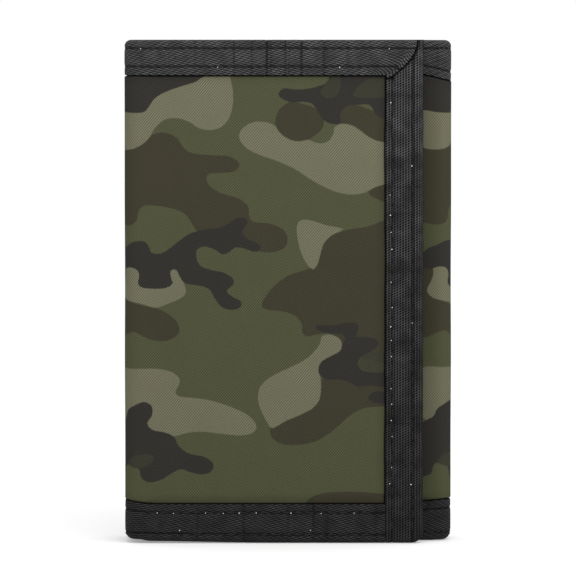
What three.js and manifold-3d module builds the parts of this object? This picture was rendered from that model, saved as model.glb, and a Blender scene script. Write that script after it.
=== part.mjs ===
// A trifold wallet, closed and standing on its bottom edge.
//
// The outer shell is one band of cloth in five stretches. Seen from outside, from left to right
// along the band, they are: tuck, right spine, back, left spine, flap. The back stands behind, the
// tuck folds in front of it and the flap closes over both. Every edge is bound with folded tape.
//
// Units are millimetres. +Z is up, the flap faces -Y, and the origin is the middle of the footprint.
//
// Each stretch is a leaf with its own frame: x runs along the band, y is the depth measured inward
// from the outer face of the tape, and z is the height. A cloth or tape piece is a section in depth
// and height, swept along the leaf and half way round each fold that the leaf has.

import * as THREE from 'three';
import { mergeVertices } from 'three/addons/utils/BufferGeometryUtils.js';
import Module from 'manifold-3d';

const wasm = await Module();
wasm.setup();

// ---------------------------------------------------------------- overall size

const WALLET_WIDTH = 84.4;
const WALLET_HEIGHT = 130;
const FLAP_SHORT_OF_SIDE = 7.4; // the flap's free edge stops this far from the right side
const TUCK_REACH = 60.8; // from the right side to the tuck's free edge
const FOLD_RADIUS = 3.6; // outside of the tape at the four folds
const FLAP_TUCK_GAP = 2.2; // room between the flap and the tuck when closed
const TUCK_BACK_GAP = 2.4; // room between the tuck and the back, which the zip slider uses
const FLAP_REACH = WALLET_WIDTH - FLAP_SHORT_OF_SIDE;

// ---------------------------------------------------------------- thickness of each material

const TAPE = 0.5;
const SHELL_CLOTH = 0.45;
const BOARD = 0.6;
const LINING = 0.2;
const POCKET_CLOTH = 0.25;
const WINDOW_FILM = 0.25;
const FRAME_CLOTH = 0.4;
const ZIP_TAPE = 0.3;
const COIN_ROOM = 1.65; // inside the empty coin pocket

// ---------------------------------------------------------------- clearances

const PLY_GAP = 0.05; // between two plies that lie on each other
const MOUTH_GAP = 0.2; // between the two tapes at the mouth of the bill compartment
const FOLD_GAP = 0.3; // between two leaves, in the middle of the fold they share
const TAPE_END_GAP = 0.2; // between two tapes that meet end to end
const STRIP_GAP = 0.3; // between the hook strip and the loop strip
const ZIP_SIDE_GAP = 0.1; // between a zip tape and its tooth row
const SLIDER_PLAY = 0.2; // between the slider and what it slides on

// ---------------------------------------------------------------- binding tape

const TOP_TAPE_HEIGHT = 9.1;
const BOTTOM_TAPE_HEIGHT = 10.05;
const EDGE_TAPE_WIDTH = 9.65;
const INNER_TAPE_HEIGHT = 8;
const TOP_ROUND = 1; // rounding where the tape folds over the top edge
const BOTTOM_ROUND = 1.2; // the same along the bottom edge and down a free edge
const FREE_CORNER_RADIUS = 3; // lower corner of the flap and of the tuck
const MITRE_FOOT = 7.3; // the mitre's lower end, from the free edge
const MITRE_HEAD = 1.6; // the mitre's upper end, from the free edge

// ---------------------------------------------------------------- inner panels and pockets

const INNER_START = 5.5; // where the inner plies begin, beside a fold
const INNER_DROP = 4; // the inner panels end this far below the shell
const INNER_TOP = WALLET_HEIGHT - INNER_DROP;
const BOARD_INSET = 2;
const CARD_SLOT_DROPS = [14, 28, 42]; // mouths of the flap's slots below the inner panel's top
const BACK_SLOT_DROP = 22;
const WINDOW_PANEL_DROP = 34;
const WINDOW_PANEL_TOP = INNER_TOP - WINDOW_PANEL_DROP;
const WINDOW_SIDE_BORDER = 11.7;
const WINDOW_HEAD_BORDER = 8;
const WINDOW_FOOT = 14; // height of the window's lower side
const WINDOW_CORNER = 3;
const THUMB_NOTCH_RADIUS = 9;

// ---------------------------------------------------------------- closure strips

const HOOK_THICKNESS = 1.4;
const HOOK_WIDTH = 16;
const HOOK_HEIGHT = 46;
const LOOP_OVERLAP = 4; // how far the loop strip reaches past the hook strip on each side
const STRIP_MIDDLE_HEIGHT = 52;
const STRIP_MIDDLE_ON_TUCK = TUCK_REACH / 2; // the strips are centred on the tuck

// ---------------------------------------------------------------- zip of the coin pocket

const ZIP_DROP = 26; // middle of the zip below the inner panel's top
const ZIP_HEIGHT = INNER_TOP - ZIP_DROP;
const ZIP_TAPE_WIDTH = 9;
const ZIP_TAPE_SHOWN = 2.4; // tape left free between a tooth row and the pocket cloth
const TOOTH_ROW_WIDTH = 1.55;
const TOOTH_ROW_GAP = 0.9; // the slider's neck passes between the rows
const TOOTH_ROW_THICKNESS = 1.5;
const TOOTH_ROW_FROM_FOLD = 8.5;
const STOP_LENGTH = 1.1;
const SLIDER_LENGTH = 8;
const SLIDER_REST_MARGIN = 0.9; // between the slider at rest and the end of the teeth
const SLIDER_WIDTH = 7.4;
const SLIDER_PLATE = 0.6;
const SLIDER_NECK = [3, 0.5]; // length and width
const BAIL_PIN_RADIUS = 0.8;
const BAIL_LENGTH = 5.6;
const BAIL_THICKNESS = 0.55;
const PULL_THICKNESS = 0.7;
const PULL_LENGTH = 15;
const PULL_WIDTH = 4.4;
const PULL_EYE_RADIUS = 2.3;
const PULL_PLAY = 0.3; // between the pull's eye and the pin in it

// ---------------------------------------------------------------- depth of each ply in its leaf

/**
 * Stacks plies inward, one behind the other.
 * @param {number} start depth of the first ply's outer side
 * @param {Array} plies [name, thickness, gap behind it] for each ply
 * @returns {Object} [outer depth, inner depth] of each ply by its name
 */
function stackPlies(start, plies) {
  const depths = {};
  let depth = start;
  for (const [name, thickness, gap = PLY_GAP] of plies) {
    depths[name] = [depth, depth + thickness];
    depth += thickness + gap;
  }
  return depths;
}

const SHELL = stackPlies(0, [
  ['tape', TAPE],
  ['cloth', SHELL_CLOTH],
  ['board', BOARD],
  ['billLining', LINING],
  ['tapeBack', TAPE, MOUTH_GAP],
  ['innerTape', TAPE],
  ['lining', LINING],
  ['innerTapeBack', TAPE],
]);
const INNER_DEPTH = SHELL.lining[1] + PLY_GAP; // where the pockets begin
const FLAP = stackPlies(INNER_DEPTH, [
  ['slot1', POCKET_CLOTH],
  ['slot2', POCKET_CLOTH],
  ['slot3', POCKET_CLOTH],
  ['tapeBack', TAPE],
]);
const BACK = stackPlies(INNER_DEPTH, [
  ['slot', POCKET_CLOTH],
  ['film', WINDOW_FILM],
  ['frame', FRAME_CLOTH],
  ['tapeBack', TAPE],
]);
const TUCK = stackPlies(INNER_DEPTH + COIN_ROOM, [
  ['zipTape', ZIP_TAPE],
  ['front', FRAME_CLOTH],
  ['tapeBack', TAPE],
]);

const FLAP_THICKNESS = FLAP.tapeBack[1];
const BACK_THICKNESS = BACK.tapeBack[1];
const TUCK_THICKNESS = TUCK.tapeBack[1];
const TUCK_START = FLAP_THICKNESS + FLAP_TUCK_GAP;
const WALLET_DEPTH = TUCK_START + TUCK_THICKNESS + TUCK_BACK_GAP + BACK_THICKNESS;
const RIGHT_SPINE_LENGTH = WALLET_DEPTH - TUCK_START;

const CLOTH_FOOT = TAPE + PLY_GAP; // a bound ply stops this far from the edge it is bound at
const CLOTH_TOP = WALLET_HEIGHT - CLOTH_FOOT;
const INNER_CLOTH_TOP = INNER_TOP - CLOTH_FOOT;

const FAR_STOP_FROM_FOLD = TUCK_REACH - EDGE_TAPE_WIDTH - TAPE_END_GAP - STOP_LENGTH;
const TOOTH_ROW_END = FAR_STOP_FROM_FOLD - SLIDER_PLAY;
const SLIDER_FROM_FOLD = TOOTH_ROW_END - SLIDER_REST_MARGIN - SLIDER_LENGTH / 2; // with the zip closed

// ---------------------------------------------------------------- colours

/** A plain finish. */
function finish(color, roughness, metalness = 0) {
  return new THREE.MeshStandardMaterial({ color, roughness, metalness });
}

const PRINTED_CLOTH = finish(0x4d5139, 0.9);
const BLACK_TAPE = finish(0x2c2c2e, 0.85);
const BLACK_LINING = finish(0x1d1e20, 0.8);
const POCKET_FABRIC = finish(0x26272a, 0.85);
const GREY_BOARD = finish(0x8a8378, 0.9);
const CLEAR_FILM = finish(0xcfd6d8, 0.15);
const ZIP_CLOTH = finish(0x18191b, 0.8);
const ZIP_COIL = finish(0x101112, 0.45);
const DARK_METAL = finish(0x3a3b3d, 0.35, 0.9);
const CLOSURE_STRIP = finish(0x161718, 0.95);

// ---------------------------------------------------------------- solids

/** Makes a closed geometry into a solid that can be cut and joined. */
function toSolid(geometry) {
  const bare = geometry.clone();
  bare.deleteAttribute('normal');
  bare.deleteAttribute('uv');
  const merged = mergeVertices(bare, 1e-4);
  return new wasm.Manifold(new wasm.Mesh({
    numProp: 3,
    vertProperties: new Float32Array(merged.attributes.position.array),
    triVerts: new Uint32Array(merged.index.array),
  }));
}

/** Gives a solid back as a geometry. */
function toGeometry(solid) {
  const mesh = solid.getMesh();
  const geometry = new THREE.BufferGeometry();
  geometry.setAttribute('position', new THREE.BufferAttribute(new Float32Array(mesh.vertProperties), 3));
  geometry.setIndex(new THREE.BufferAttribute(new Uint32Array(mesh.triVerts), 1));
  geometry.computeVertexNormals();
  return geometry;
}

/** A box between two places on each axis. */
function boxBetween([x0, x1], [y0, y1], [z0, z1]) {
  const box = new THREE.BoxGeometry(x1 - x0, y1 - y0, z1 - z0);
  return box.translate((x0 + x1) / 2, (y0 + y1) / 2, (z0 + z1) / 2);
}

/** Extrudes an outline, drawn along the leaf and upward, through a range of depth. */
function throughDepth(outline, [near, far], curveSegments = 8) {
  const options = { depth: far - near, bevelEnabled: false, curveSegments };
  return new THREE.ExtrudeGeometry(outline, options).rotateX(Math.PI / 2).translate(0, far, 0);
}

/** Extrudes an outline, drawn along the leaf and in depth, through a range of height. */
function throughHeight(outline, [low, high], curveSegments = 4) {
  const options = { depth: high - low, bevelEnabled: false, curveSegments };
  return new THREE.ExtrudeGeometry(outline, options).translate(0, 0, low);
}

/** Mirrors a geometry along its leaf, so that what was at one end is at the other. */
function mirrorAlong(geometry, length) {
  const mirrored = geometry.clone().scale(-1, 1, 1).translate(length, 0, 0);
  const index = mirrored.index.array;
  for (let i = 0; i < index.length; i += 3) {
    [index[i], index[i + 1]] = [index[i + 1], index[i]];
  }
  mirrored.computeVertexNormals();
  return mirrored;
}

// ---------------------------------------------------------------- leaves and sweeps

const FOLD_STEPS = 4;

/** One stretch of the shell, with a fold or a free edge at each end. */
class Leaf {
  /**
   * @param {number} length from end to end, over the outside of the folds
   * @param {boolean} foldAtStart whether the leaf bends inward at x = 0
   * @param {boolean} foldAtEnd whether the leaf bends inward at x = length
   */
  constructor(length, foldAtStart, foldAtEnd) {
    this.length = length;
    this.foldAtStart = foldAtStart;
    this.foldAtEnd = foldAtEnd;
  }

  /** Sections half way round the fold at one end, from the leaf's flat to the fold's middle. */
  foldSections(centreX, direction) {
    const stopShort = Math.asin(FOLD_GAP / 2 / FOLD_RADIUS);
    const sweep = Math.PI / 4 - stopShort;
    const sections = [];
    for (let i = 0; i <= FOLD_STEPS; i++) {
      const turn = sweep * i / FOLD_STEPS;
      const placeAt = (depth) => {
        const radius = FOLD_RADIUS - depth;
        return [centreX + direction * radius * Math.sin(turn), FOLD_RADIUS - radius * Math.cos(turn)];
      };
      sections.push({ placeAt, inFold: true });
    }
    return sections;
  }

  /** A flat section at x. */
  static flatSection(x) {
    return { placeAt: (depth) => [x, depth], inFold: false };
  }

  /**
   * Sections along the whole leaf, round the folds it has.
   * @param {number} edgeInset how far short of a free edge the path ends
   */
  shellPath(edgeInset) {
    const start = this.foldAtStart
      ? this.foldSections(FOLD_RADIUS, -1).reverse()
      : [Leaf.flatSection(edgeInset)];
    const end = this.foldAtEnd
      ? this.foldSections(this.length - FOLD_RADIUS, 1)
      : [Leaf.flatSection(this.length - edgeInset)];
    const innerStart = this.foldAtStart ? [Leaf.flatSection(INNER_START - PLY_GAP)] : [];
    const innerEnd = this.foldAtEnd ? [Leaf.flatSection(this.length - INNER_START + PLY_GAP)] : [];
    return [...start, ...innerStart, ...innerEnd, ...end];
  }

  /** Where the plies that don't go round a fold begin and end. */
  innerSpan(edgeInset) {
    const from = this.foldAtStart ? INNER_START : edgeInset;
    const to = this.length - (this.foldAtEnd ? INNER_START : edgeInset);
    return [from, to];
  }
}

/** Two flat sections. */
function flatPath([from, to]) {
  return [Leaf.flatSection(from), Leaf.flatSection(to)];
}

/**
 * Sweeps a closed section along a path.
 * @param {Array} path sections of the leaf, in order along x
 * @param {Function} outlineAt gives a section's [depth, height] points, counter-clockwise
 */
function sweep(path, outlineAt) {
  const rings = path.map((section) => outlineAt(section).map(([depth, height]) => {
    const [x, y] = section.placeAt(depth);
    return [x, y, height];
  }));
  const count = rings[0].length;
  const index = [];
  for (let ring = 0; ring + 1 < rings.length; ring++) {
    for (let i = 0; i < count; i++) {
      const a = ring * count + i;
      const b = ring * count + (i + 1) % count;
      index.push(a, b, a + count, b, b + count, a + count);
    }
  }
  const last = (rings.length - 1) * count;
  const outline = outlineAt(path[0]).map(([depth, height]) => new THREE.Vector2(depth, height));
  for (const [a, b, c] of THREE.ShapeUtils.triangulateShape(outline, [])) {
    index.push(a, c, b);
    index.push(last + a, last + b, last + c);
  }
  const geometry = new THREE.BufferGeometry();
  geometry.setAttribute('position', new THREE.Float32BufferAttribute(rings.flat(2), 3));
  geometry.setIndex(index);
  geometry.computeVertexNormals();
  return geometry;
}

/** A flat ply between two depths and two heights. */
function ply(path, [near, far], [low, high]) {
  return sweep(path, () => [[near, low], [far, low], [far, high], [near, high]]);
}

/** Points of a quarter circle in depth and height, from one angle on, counter-clockwise. */
function quarterTurn(depth, height, radius, fromAngle) {
  const steps = 3;
  const points = [];
  for (let i = 0; i <= steps; i++) {
    const angle = fromAngle + Math.PI / 2 * i / steps;
    points.push([depth + radius * Math.cos(angle), height + radius * Math.sin(angle)]);
  }
  return points;
}

/** Section of tape folded over a top edge, between two depths. */
function topTapeSection([near, far], top, tapeHeight) {
  const foot = top - tapeHeight;
  const round = Math.min(TOP_ROUND, (far - near) / 2 - PLY_GAP);
  return [
    [near, foot],
    [near + TAPE, foot],
    [near + TAPE, top - TAPE],
    [far - TAPE, top - TAPE],
    [far - TAPE, foot],
    [far, foot],
    ...quarterTurn(far - round, top - round, round, 0),
    ...quarterTurn(near + round, top - round, round, Math.PI / 2),
  ];
}

/** Section of tape folded under a bottom edge, between two depths. */
function bottomTapeSection([near, far]) {
  const head = BOTTOM_TAPE_HEIGHT;
  const round = Math.min(BOTTOM_ROUND, (far - near) / 2 - PLY_GAP);
  return [
    [far, head],
    [far - TAPE, head],
    [far - TAPE, TAPE],
    [near + TAPE, TAPE],
    [near + TAPE, head],
    [near, head],
    ...quarterTurn(near + round, round, round, Math.PI),
    ...quarterTurn(far - round, round, round, Math.PI * 1.5),
  ];
}

/** The bottom binding: over all the plies where the leaf is flat, over the shell alone in a fold. */
function bottomBinding(path, thickness) {
  return sweep(path, (section) => bottomTapeSection([0, section.inFold ? SHELL.tapeBack[1] : thickness]));
}

// ---------------------------------------------------------------- free edges

/** Outline of a leaf with its free edge at x = length, seen from outside, inset all round. */
function freeEdgeOutline(length, inset) {
  const radius = FREE_CORNER_RADIUS - inset;
  const right = length - inset;
  const outline = new THREE.Shape();
  outline.moveTo(0, WALLET_HEIGHT);
  outline.lineTo(0, inset);
  outline.lineTo(right - radius, inset);
  outline.absarc(right - radius, inset + radius, radius, -Math.PI / 2, 0, false);
  outline.lineTo(right, WALLET_HEIGHT);
  return outline;
}

/** Rounds the lower free corner of a ply to fit inside the binding. */
function roundFreeCorner(geometry, length) {
  const keep = throughDepth(freeEdgeOutline(length, CLOTH_FOOT), [-1, WALLET_DEPTH]);
  return toGeometry(toSolid(geometry).intersect(toSolid(keep)));
}

/**
 * The area that the top tape takes at the mitre, left of the slanting cut and above its lower edge.
 * @param {number} length of the leaf, with its free edge at the far end
 * @param {number} margin grows the area by this much to the right and downward
 */
function topTapeArea(length, margin) {
  const foot = WALLET_HEIGHT - TOP_TAPE_HEIGHT - margin;
  const above = WALLET_HEIGHT + TOP_TAPE_HEIGHT;
  const area = new THREE.Shape();
  area.moveTo(-TOP_TAPE_HEIGHT, foot);
  area.lineTo(length - MITRE_FOOT + margin, foot);
  area.lineTo(length - MITRE_HEAD + margin, WALLET_HEIGHT);
  area.lineTo(length - MITRE_HEAD + margin, above);
  area.lineTo(-TOP_TAPE_HEIGHT, above);
  return area;
}

/** Cuts the end of a top tape to the mitre. */
function mitreTopTape(geometry, length) {
  const area = throughDepth(topTapeArea(length, 0), [-1, WALLET_DEPTH]);
  return toGeometry(toSolid(geometry).intersect(toSolid(area)));
}

/** The binding down a free edge at x = length: a folded tape, closed round the lower corner. */
function edgeBinding(length, thickness) {
  const left = length - EDGE_TAPE_WIDTH;
  const plan = new THREE.Shape();
  plan.moveTo(left, 0);
  plan.lineTo(length - BOTTOM_ROUND, 0);
  plan.absarc(length - BOTTOM_ROUND, BOTTOM_ROUND, BOTTOM_ROUND, -Math.PI / 2, 0, false);
  plan.lineTo(length, thickness - BOTTOM_ROUND);
  plan.absarc(length - BOTTOM_ROUND, thickness - BOTTOM_ROUND, BOTTOM_ROUND, 0, Math.PI / 2, false);
  plan.lineTo(left, thickness);
  const block = toSolid(throughHeight(plan, [0, WALLET_HEIGHT]));
  const rounded = block.intersect(toSolid(throughDepth(freeEdgeOutline(length, 0), [-1, thickness + 1])));
  const filling = toSolid(throughDepth(freeEdgeOutline(length, TAPE), [TAPE, thickness - TAPE]))
    .add(toSolid(boxBetween([0, length - TAPE], [TAPE, thickness - TAPE],
      [WALLET_HEIGHT - 1, WALLET_HEIGHT + 1])));
  const topTape = toSolid(throughDepth(topTapeArea(length, TAPE_END_GAP), [-1, thickness + 1]));
  return toGeometry(rounded.subtract(filling).subtract(topTape));
}

// ---------------------------------------------------------------- the object

const wallet = new THREE.Group();
wallet.name = 'trifold_wallet';

/** A group for a leaf, standing with its corner at (x, y) and turned about the vertical. */
function leafGroup(name, x, y, turn) {
  const group = new THREE.Group();
  group.name = name;
  group.position.set(x, y, 0);
  group.rotation.z = turn;
  wallet.add(group);
  return group;
}

/** Adds one piece to a group. */
function addPiece(group, name, geometry, material) {
  const mesh = new THREE.Mesh(geometry, material);
  mesh.name = name;
  group.add(mesh);
  return mesh;
}

const LEFT = -WALLET_WIDTH / 2;
const RIGHT = WALLET_WIDTH / 2;
const FRONT = -WALLET_DEPTH / 2;
const REAR = WALLET_DEPTH / 2;

/**
 * The pieces that every leaf has: the shell's cloth, bill lining and top tape, and the inner panel
 * with its own top tape.
 * @param {number} innerTapeFar how deep the inner panel's tape reaches
 * @param {number} innerTapeInset how far short of a free edge that tape ends
 */
function addShell(group, name, leaf, innerTapeFar, innerTapeInset = CLOTH_FOOT) {
  const hasFreeEdge = !(leaf.foldAtStart && leaf.foldAtEnd);
  const shape = (geometry) => (hasFreeEdge ? shapeFreeEnd(geometry, leaf, roundFreeCorner) : geometry);
  const clothPath = leaf.shellPath(CLOTH_FOOT);
  const innerSpan = leaf.innerSpan(CLOTH_FOOT);
  const cloth = ply(clothPath, SHELL.cloth, [CLOTH_FOOT, CLOTH_TOP]);
  const billLining = ply(clothPath, SHELL.billLining, [CLOTH_FOOT, CLOTH_TOP]);
  const lining = ply(flatPath(innerSpan), SHELL.lining, [CLOTH_FOOT, INNER_CLOTH_TOP]);
  addPiece(group, `${name}_outer_cloth`, shape(cloth), PRINTED_CLOTH);
  addPiece(group, `${name}_bill_lining`, shape(billLining), BLACK_LINING);
  addPiece(group, `${name}_inner_lining`, shape(lining), BLACK_LINING);

  const topTape = sweep(leaf.shellPath(MITRE_HEAD),
    () => topTapeSection([0, SHELL.tapeBack[1]], WALLET_HEIGHT, TOP_TAPE_HEIGHT));
  const mitred = hasFreeEdge ? shapeFreeEnd(topTape, leaf, mitreTopTape) : topTape;
  addPiece(group, `${name}_top_binding`, mitred, BLACK_TAPE);

  const innerTape = sweep(flatPath(leaf.innerSpan(innerTapeInset)),
    () => topTapeSection([SHELL.innerTape[0], innerTapeFar], INNER_TOP, INNER_TAPE_HEIGHT));
  addPiece(group, `${name}_inner_top_binding`, innerTape, BLACK_TAPE);
}

/** Shapes the free end of a piece with a function that takes it at x = length. */
function shapeFreeEnd(geometry, leaf, shapeEnd) {
  if (leaf.foldAtStart) {
    return shapeEnd(geometry, leaf.length);
  }
  return mirrorAlong(shapeEnd(mirrorAlong(geometry, leaf.length), leaf.length), leaf.length);
}

/** The board that stiffens a leaf. */
function addStiffener(group, name, leaf) {
  const [from, to] = leaf.innerSpan(BOARD_INSET);
  const board = boxBetween([from, to], SHELL.board, [BOARD_INSET, WALLET_HEIGHT - BOARD_INSET]);
  const hasFreeEdge = !(leaf.foldAtStart && leaf.foldAtEnd);
  const shaped = hasFreeEdge ? shapeFreeEnd(board, leaf, roundFreeCorner) : board;
  addPiece(group, `${name}_stiffener`, shaped, GREY_BOARD);
}

// ---------------------------------------------------------------- spines

/** A spine: the shell and the lining between two folds. */
function addSpine(group, name, length) {
  const leaf = new Leaf(length, true, true);
  addShell(group, name, leaf, SHELL.innerTapeBack[1]);
  const binding = bottomBinding(leaf.shellPath(0), SHELL.innerTapeBack[1]);
  addPiece(group, `${name}_bottom_binding`, binding, BLACK_TAPE);
}

addSpine(leafGroup('left_spine', LEFT, REAR, -Math.PI / 2), 'left_spine', WALLET_DEPTH);
addSpine(leafGroup('right_spine', RIGHT, FRONT + TUCK_START, Math.PI / 2), 'right_spine', RIGHT_SPINE_LENGTH);

// ---------------------------------------------------------------- back leaf

/** Outline of the window panel: a window in it and a thumb notch in its upper side. */
function windowPanelOutline([from, to]) {
  const middle = (from + to) / 2;
  const outline = new THREE.Shape();
  outline.moveTo(from, CLOTH_FOOT);
  outline.lineTo(to, CLOTH_FOOT);
  outline.lineTo(to, WINDOW_PANEL_TOP);
  outline.lineTo(middle + THUMB_NOTCH_RADIUS, WINDOW_PANEL_TOP);
  outline.absellipse(middle, WINDOW_PANEL_TOP, THUMB_NOTCH_RADIUS, THUMB_NOTCH_RADIUS / 2, 0, Math.PI, true, 0);
  outline.lineTo(from, WINDOW_PANEL_TOP);

  const left = from + WINDOW_SIDE_BORDER;
  const right = to - WINDOW_SIDE_BORDER;
  const head = WINDOW_PANEL_TOP - WINDOW_HEAD_BORDER;
  const r = WINDOW_CORNER;
  const window = new THREE.Path();
  window.moveTo(left + r, WINDOW_FOOT);
  window.lineTo(right - r, WINDOW_FOOT);
  window.absarc(right - r, WINDOW_FOOT + r, r, -Math.PI / 2, 0, false);
  window.lineTo(right, head - r);
  window.absarc(right - r, head - r, r, 0, Math.PI / 2, false);
  window.lineTo(left + r, head);
  window.absarc(left + r, head - r, r, Math.PI / 2, Math.PI, false);
  window.lineTo(left, WINDOW_FOOT + r);
  window.absarc(left + r, WINDOW_FOOT + r, r, Math.PI, Math.PI * 1.5, false);
  outline.holes.push(window);
  return outline;
}

/** The back leaf: shell, card slot and window. */
function addBack() {
  const leaf = new Leaf(WALLET_WIDTH, true, true);
  const group = leafGroup('back', RIGHT, REAR, Math.PI);
  addShell(group, 'back', leaf, SHELL.innerTapeBack[1]);
  addPiece(group, 'back_bottom_binding', bottomBinding(leaf.shellPath(0), BACK_THICKNESS), BLACK_TAPE);
  addStiffener(group, 'back', leaf);

  const span = leaf.innerSpan(CLOTH_FOOT);
  const slot = boxBetween(span, BACK.slot, [CLOTH_FOOT, INNER_TOP - BACK_SLOT_DROP]);
  addPiece(group, 'back_card_slot', slot, POCKET_FABRIC);
  const film = boxBetween(span, BACK.film, [CLOTH_FOOT, WINDOW_PANEL_TOP - THUMB_NOTCH_RADIUS / 2 - 1]);
  addPiece(group, 'id_window_film', film, CLEAR_FILM);
  addPiece(group, 'id_window_frame', throughDepth(windowPanelOutline(span), BACK.frame, 5), POCKET_FABRIC);
}

addBack();

// ---------------------------------------------------------------- flap

/** The flap: shell, three stepped card slots, edge binding and hook strip. */
function addFlap() {
  const leaf = new Leaf(FLAP_REACH, true, false);
  const group = leafGroup('flap', LEFT, FRONT, 0);
  addShell(group, 'flap', leaf, SHELL.innerTapeBack[1]);
  addStiffener(group, 'flap', leaf);

  const bottomPath = leaf.shellPath(EDGE_TAPE_WIDTH + TAPE_END_GAP);
  addPiece(group, 'flap_bottom_binding', bottomBinding(bottomPath, FLAP_THICKNESS), BLACK_TAPE);
  addPiece(group, 'flap_edge_binding', edgeBinding(leaf.length, FLAP_THICKNESS), BLACK_TAPE);

  const span = leaf.innerSpan(CLOTH_FOOT);
  CARD_SLOT_DROPS.forEach((drop, i) => {
    const depths = FLAP[`slot${i + 1}`];
    const slot = roundFreeCorner(boxBetween(span, depths, [CLOTH_FOOT, INNER_TOP - drop]), leaf.length);
    addPiece(group, `flap_card_slot_${i + 1}`, slot, POCKET_FABRIC);
  });

  const hookNear = FLAP.slot3[1] + PLY_GAP;
  const middle = WALLET_WIDTH - TUCK_REACH + STRIP_MIDDLE_ON_TUCK;
  const hook = boxBetween(
    [middle - HOOK_WIDTH / 2, middle + HOOK_WIDTH / 2],
    [hookNear, hookNear + HOOK_THICKNESS],
    [STRIP_MIDDLE_HEIGHT - HOOK_HEIGHT / 2, STRIP_MIDDLE_HEIGHT + HOOK_HEIGHT / 2],
  );
  addPiece(group, 'hook_strip', hook, CLOSURE_STRIP);
}

addFlap();

// ---------------------------------------------------------------- tuck

const tuckGroup = leafGroup('tuck', RIGHT - TUCK_REACH, FRONT + TUCK_START, 0);

/** A range along the tuck, given as two distances from its fold. */
function fromTuckFold(near, far) {
  return [TUCK_REACH - far, TUCK_REACH - near];
}

const ROWS_TOP = ZIP_HEIGHT + TOOTH_ROW_GAP / 2 + TOOTH_ROW_WIDTH;
const ROWS_FOOT = 2 * ZIP_HEIGHT - ROWS_TOP;
const ZIP_MIDDLE_DEPTH = (TUCK.zipTape[0] + TUCK.zipTape[1]) / 2;
const ROW_DEPTHS = [ZIP_MIDDLE_DEPTH - TOOTH_ROW_THICKNESS / 2, ZIP_MIDDLE_DEPTH + TOOTH_ROW_THICKNESS / 2];

/** The tuck's own cloth, board and binding, and the loop strip on its outer face. */
function addTuckLeaf() {
  const leaf = new Leaf(TUCK_REACH, false, true);
  addShell(tuckGroup, 'tuck', leaf, TUCK_THICKNESS, EDGE_TAPE_WIDTH + TAPE_END_GAP);
  addStiffener(tuckGroup, 'tuck', leaf);
  const bottomPath = leaf.shellPath(EDGE_TAPE_WIDTH + TAPE_END_GAP);
  addPiece(tuckGroup, 'tuck_bottom_binding', bottomBinding(bottomPath, TUCK_THICKNESS), BLACK_TAPE);
  const edge = mirrorAlong(edgeBinding(leaf.length, TUCK_THICKNESS), leaf.length);
  addPiece(tuckGroup, 'tuck_edge_binding', edge, BLACK_TAPE);

  const hookFace = FLAP.slot3[1] + PLY_GAP + HOOK_THICKNESS;
  const loopNear = hookFace + STRIP_GAP - TUCK_START;
  const halfWidth = HOOK_WIDTH / 2 + LOOP_OVERLAP;
  const halfHeight = HOOK_HEIGHT / 2 + LOOP_OVERLAP;
  const loop = boxBetween(
    [STRIP_MIDDLE_ON_TUCK - halfWidth, STRIP_MIDDLE_ON_TUCK + halfWidth],
    [loopNear, SHELL.cloth[0] - PLY_GAP],
    [STRIP_MIDDLE_HEIGHT - halfHeight, STRIP_MIDDLE_HEIGHT + halfHeight],
  );
  addPiece(tuckGroup, 'loop_strip', loop, CLOSURE_STRIP);
}

/** The coin pocket: two panels of cloth with the zip between them. */
function addCoinPocket() {
  const span = [CLOTH_FOOT, TUCK_REACH - INNER_START];
  const leaf = new Leaf(TUCK_REACH, false, true);
  const frontTop = ROWS_FOOT - ZIP_TAPE_SHOWN;
  const front = boxBetween(span, TUCK.front, [CLOTH_FOOT, frontTop]);
  addPiece(tuckGroup, 'coin_pocket_front', shapeFreeEnd(front, leaf, roundFreeCorner), POCKET_FABRIC);
  const band = boxBetween(span, TUCK.front, [ROWS_TOP + ZIP_TAPE_SHOWN, INNER_CLOTH_TOP]);
  addPiece(tuckGroup, 'coin_pocket_band', band, POCKET_FABRIC);

  const lowerTapeTop = ROWS_FOOT - ZIP_SIDE_GAP;
  const lowerTape = boxBetween(span, TUCK.zipTape, [lowerTapeTop - ZIP_TAPE_WIDTH, lowerTapeTop]);
  addPiece(tuckGroup, 'zip_tape_lower', lowerTape, ZIP_CLOTH);
  const upperTapeFoot = ROWS_TOP + ZIP_SIDE_GAP;
  const upperTape = boxBetween(span, TUCK.zipTape, [upperTapeFoot, upperTapeFoot + ZIP_TAPE_WIDTH]);
  addPiece(tuckGroup, 'zip_tape_upper', upperTape, ZIP_CLOTH);

  const rowSpan = fromTuckFold(TOOTH_ROW_FROM_FOLD, TOOTH_ROW_END);
  const lowerRow = boxBetween(rowSpan, ROW_DEPTHS, [ROWS_FOOT, ROWS_FOOT + TOOTH_ROW_WIDTH]);
  addPiece(tuckGroup, 'zip_teeth_lower', lowerRow, ZIP_COIL);
  const upperRow = boxBetween(rowSpan, ROW_DEPTHS, [ROWS_TOP - TOOTH_ROW_WIDTH, ROWS_TOP]);
  addPiece(tuckGroup, 'zip_teeth_upper', upperRow, ZIP_COIL);

  const stopNear = TOOTH_ROW_FROM_FOLD - SLIDER_PLAY - STOP_LENGTH;
  const nearStop = fromTuckFold(stopNear, stopNear + STOP_LENGTH);
  addPiece(tuckGroup, 'zip_stop_fold_end', boxBetween(nearStop, ROW_DEPTHS, [ROWS_FOOT, ROWS_TOP]), DARK_METAL);
  const farStop = fromTuckFold(FAR_STOP_FROM_FOLD, FAR_STOP_FROM_FOLD + STOP_LENGTH);
  addPiece(tuckGroup, 'zip_stop_edge_end', boxBetween(farStop, ROW_DEPTHS, [ROWS_FOOT, ROWS_TOP]), DARK_METAL);
}

addTuckLeaf();
addCoinPocket();

// ---------------------------------------------------------------- zip slider and pull

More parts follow.
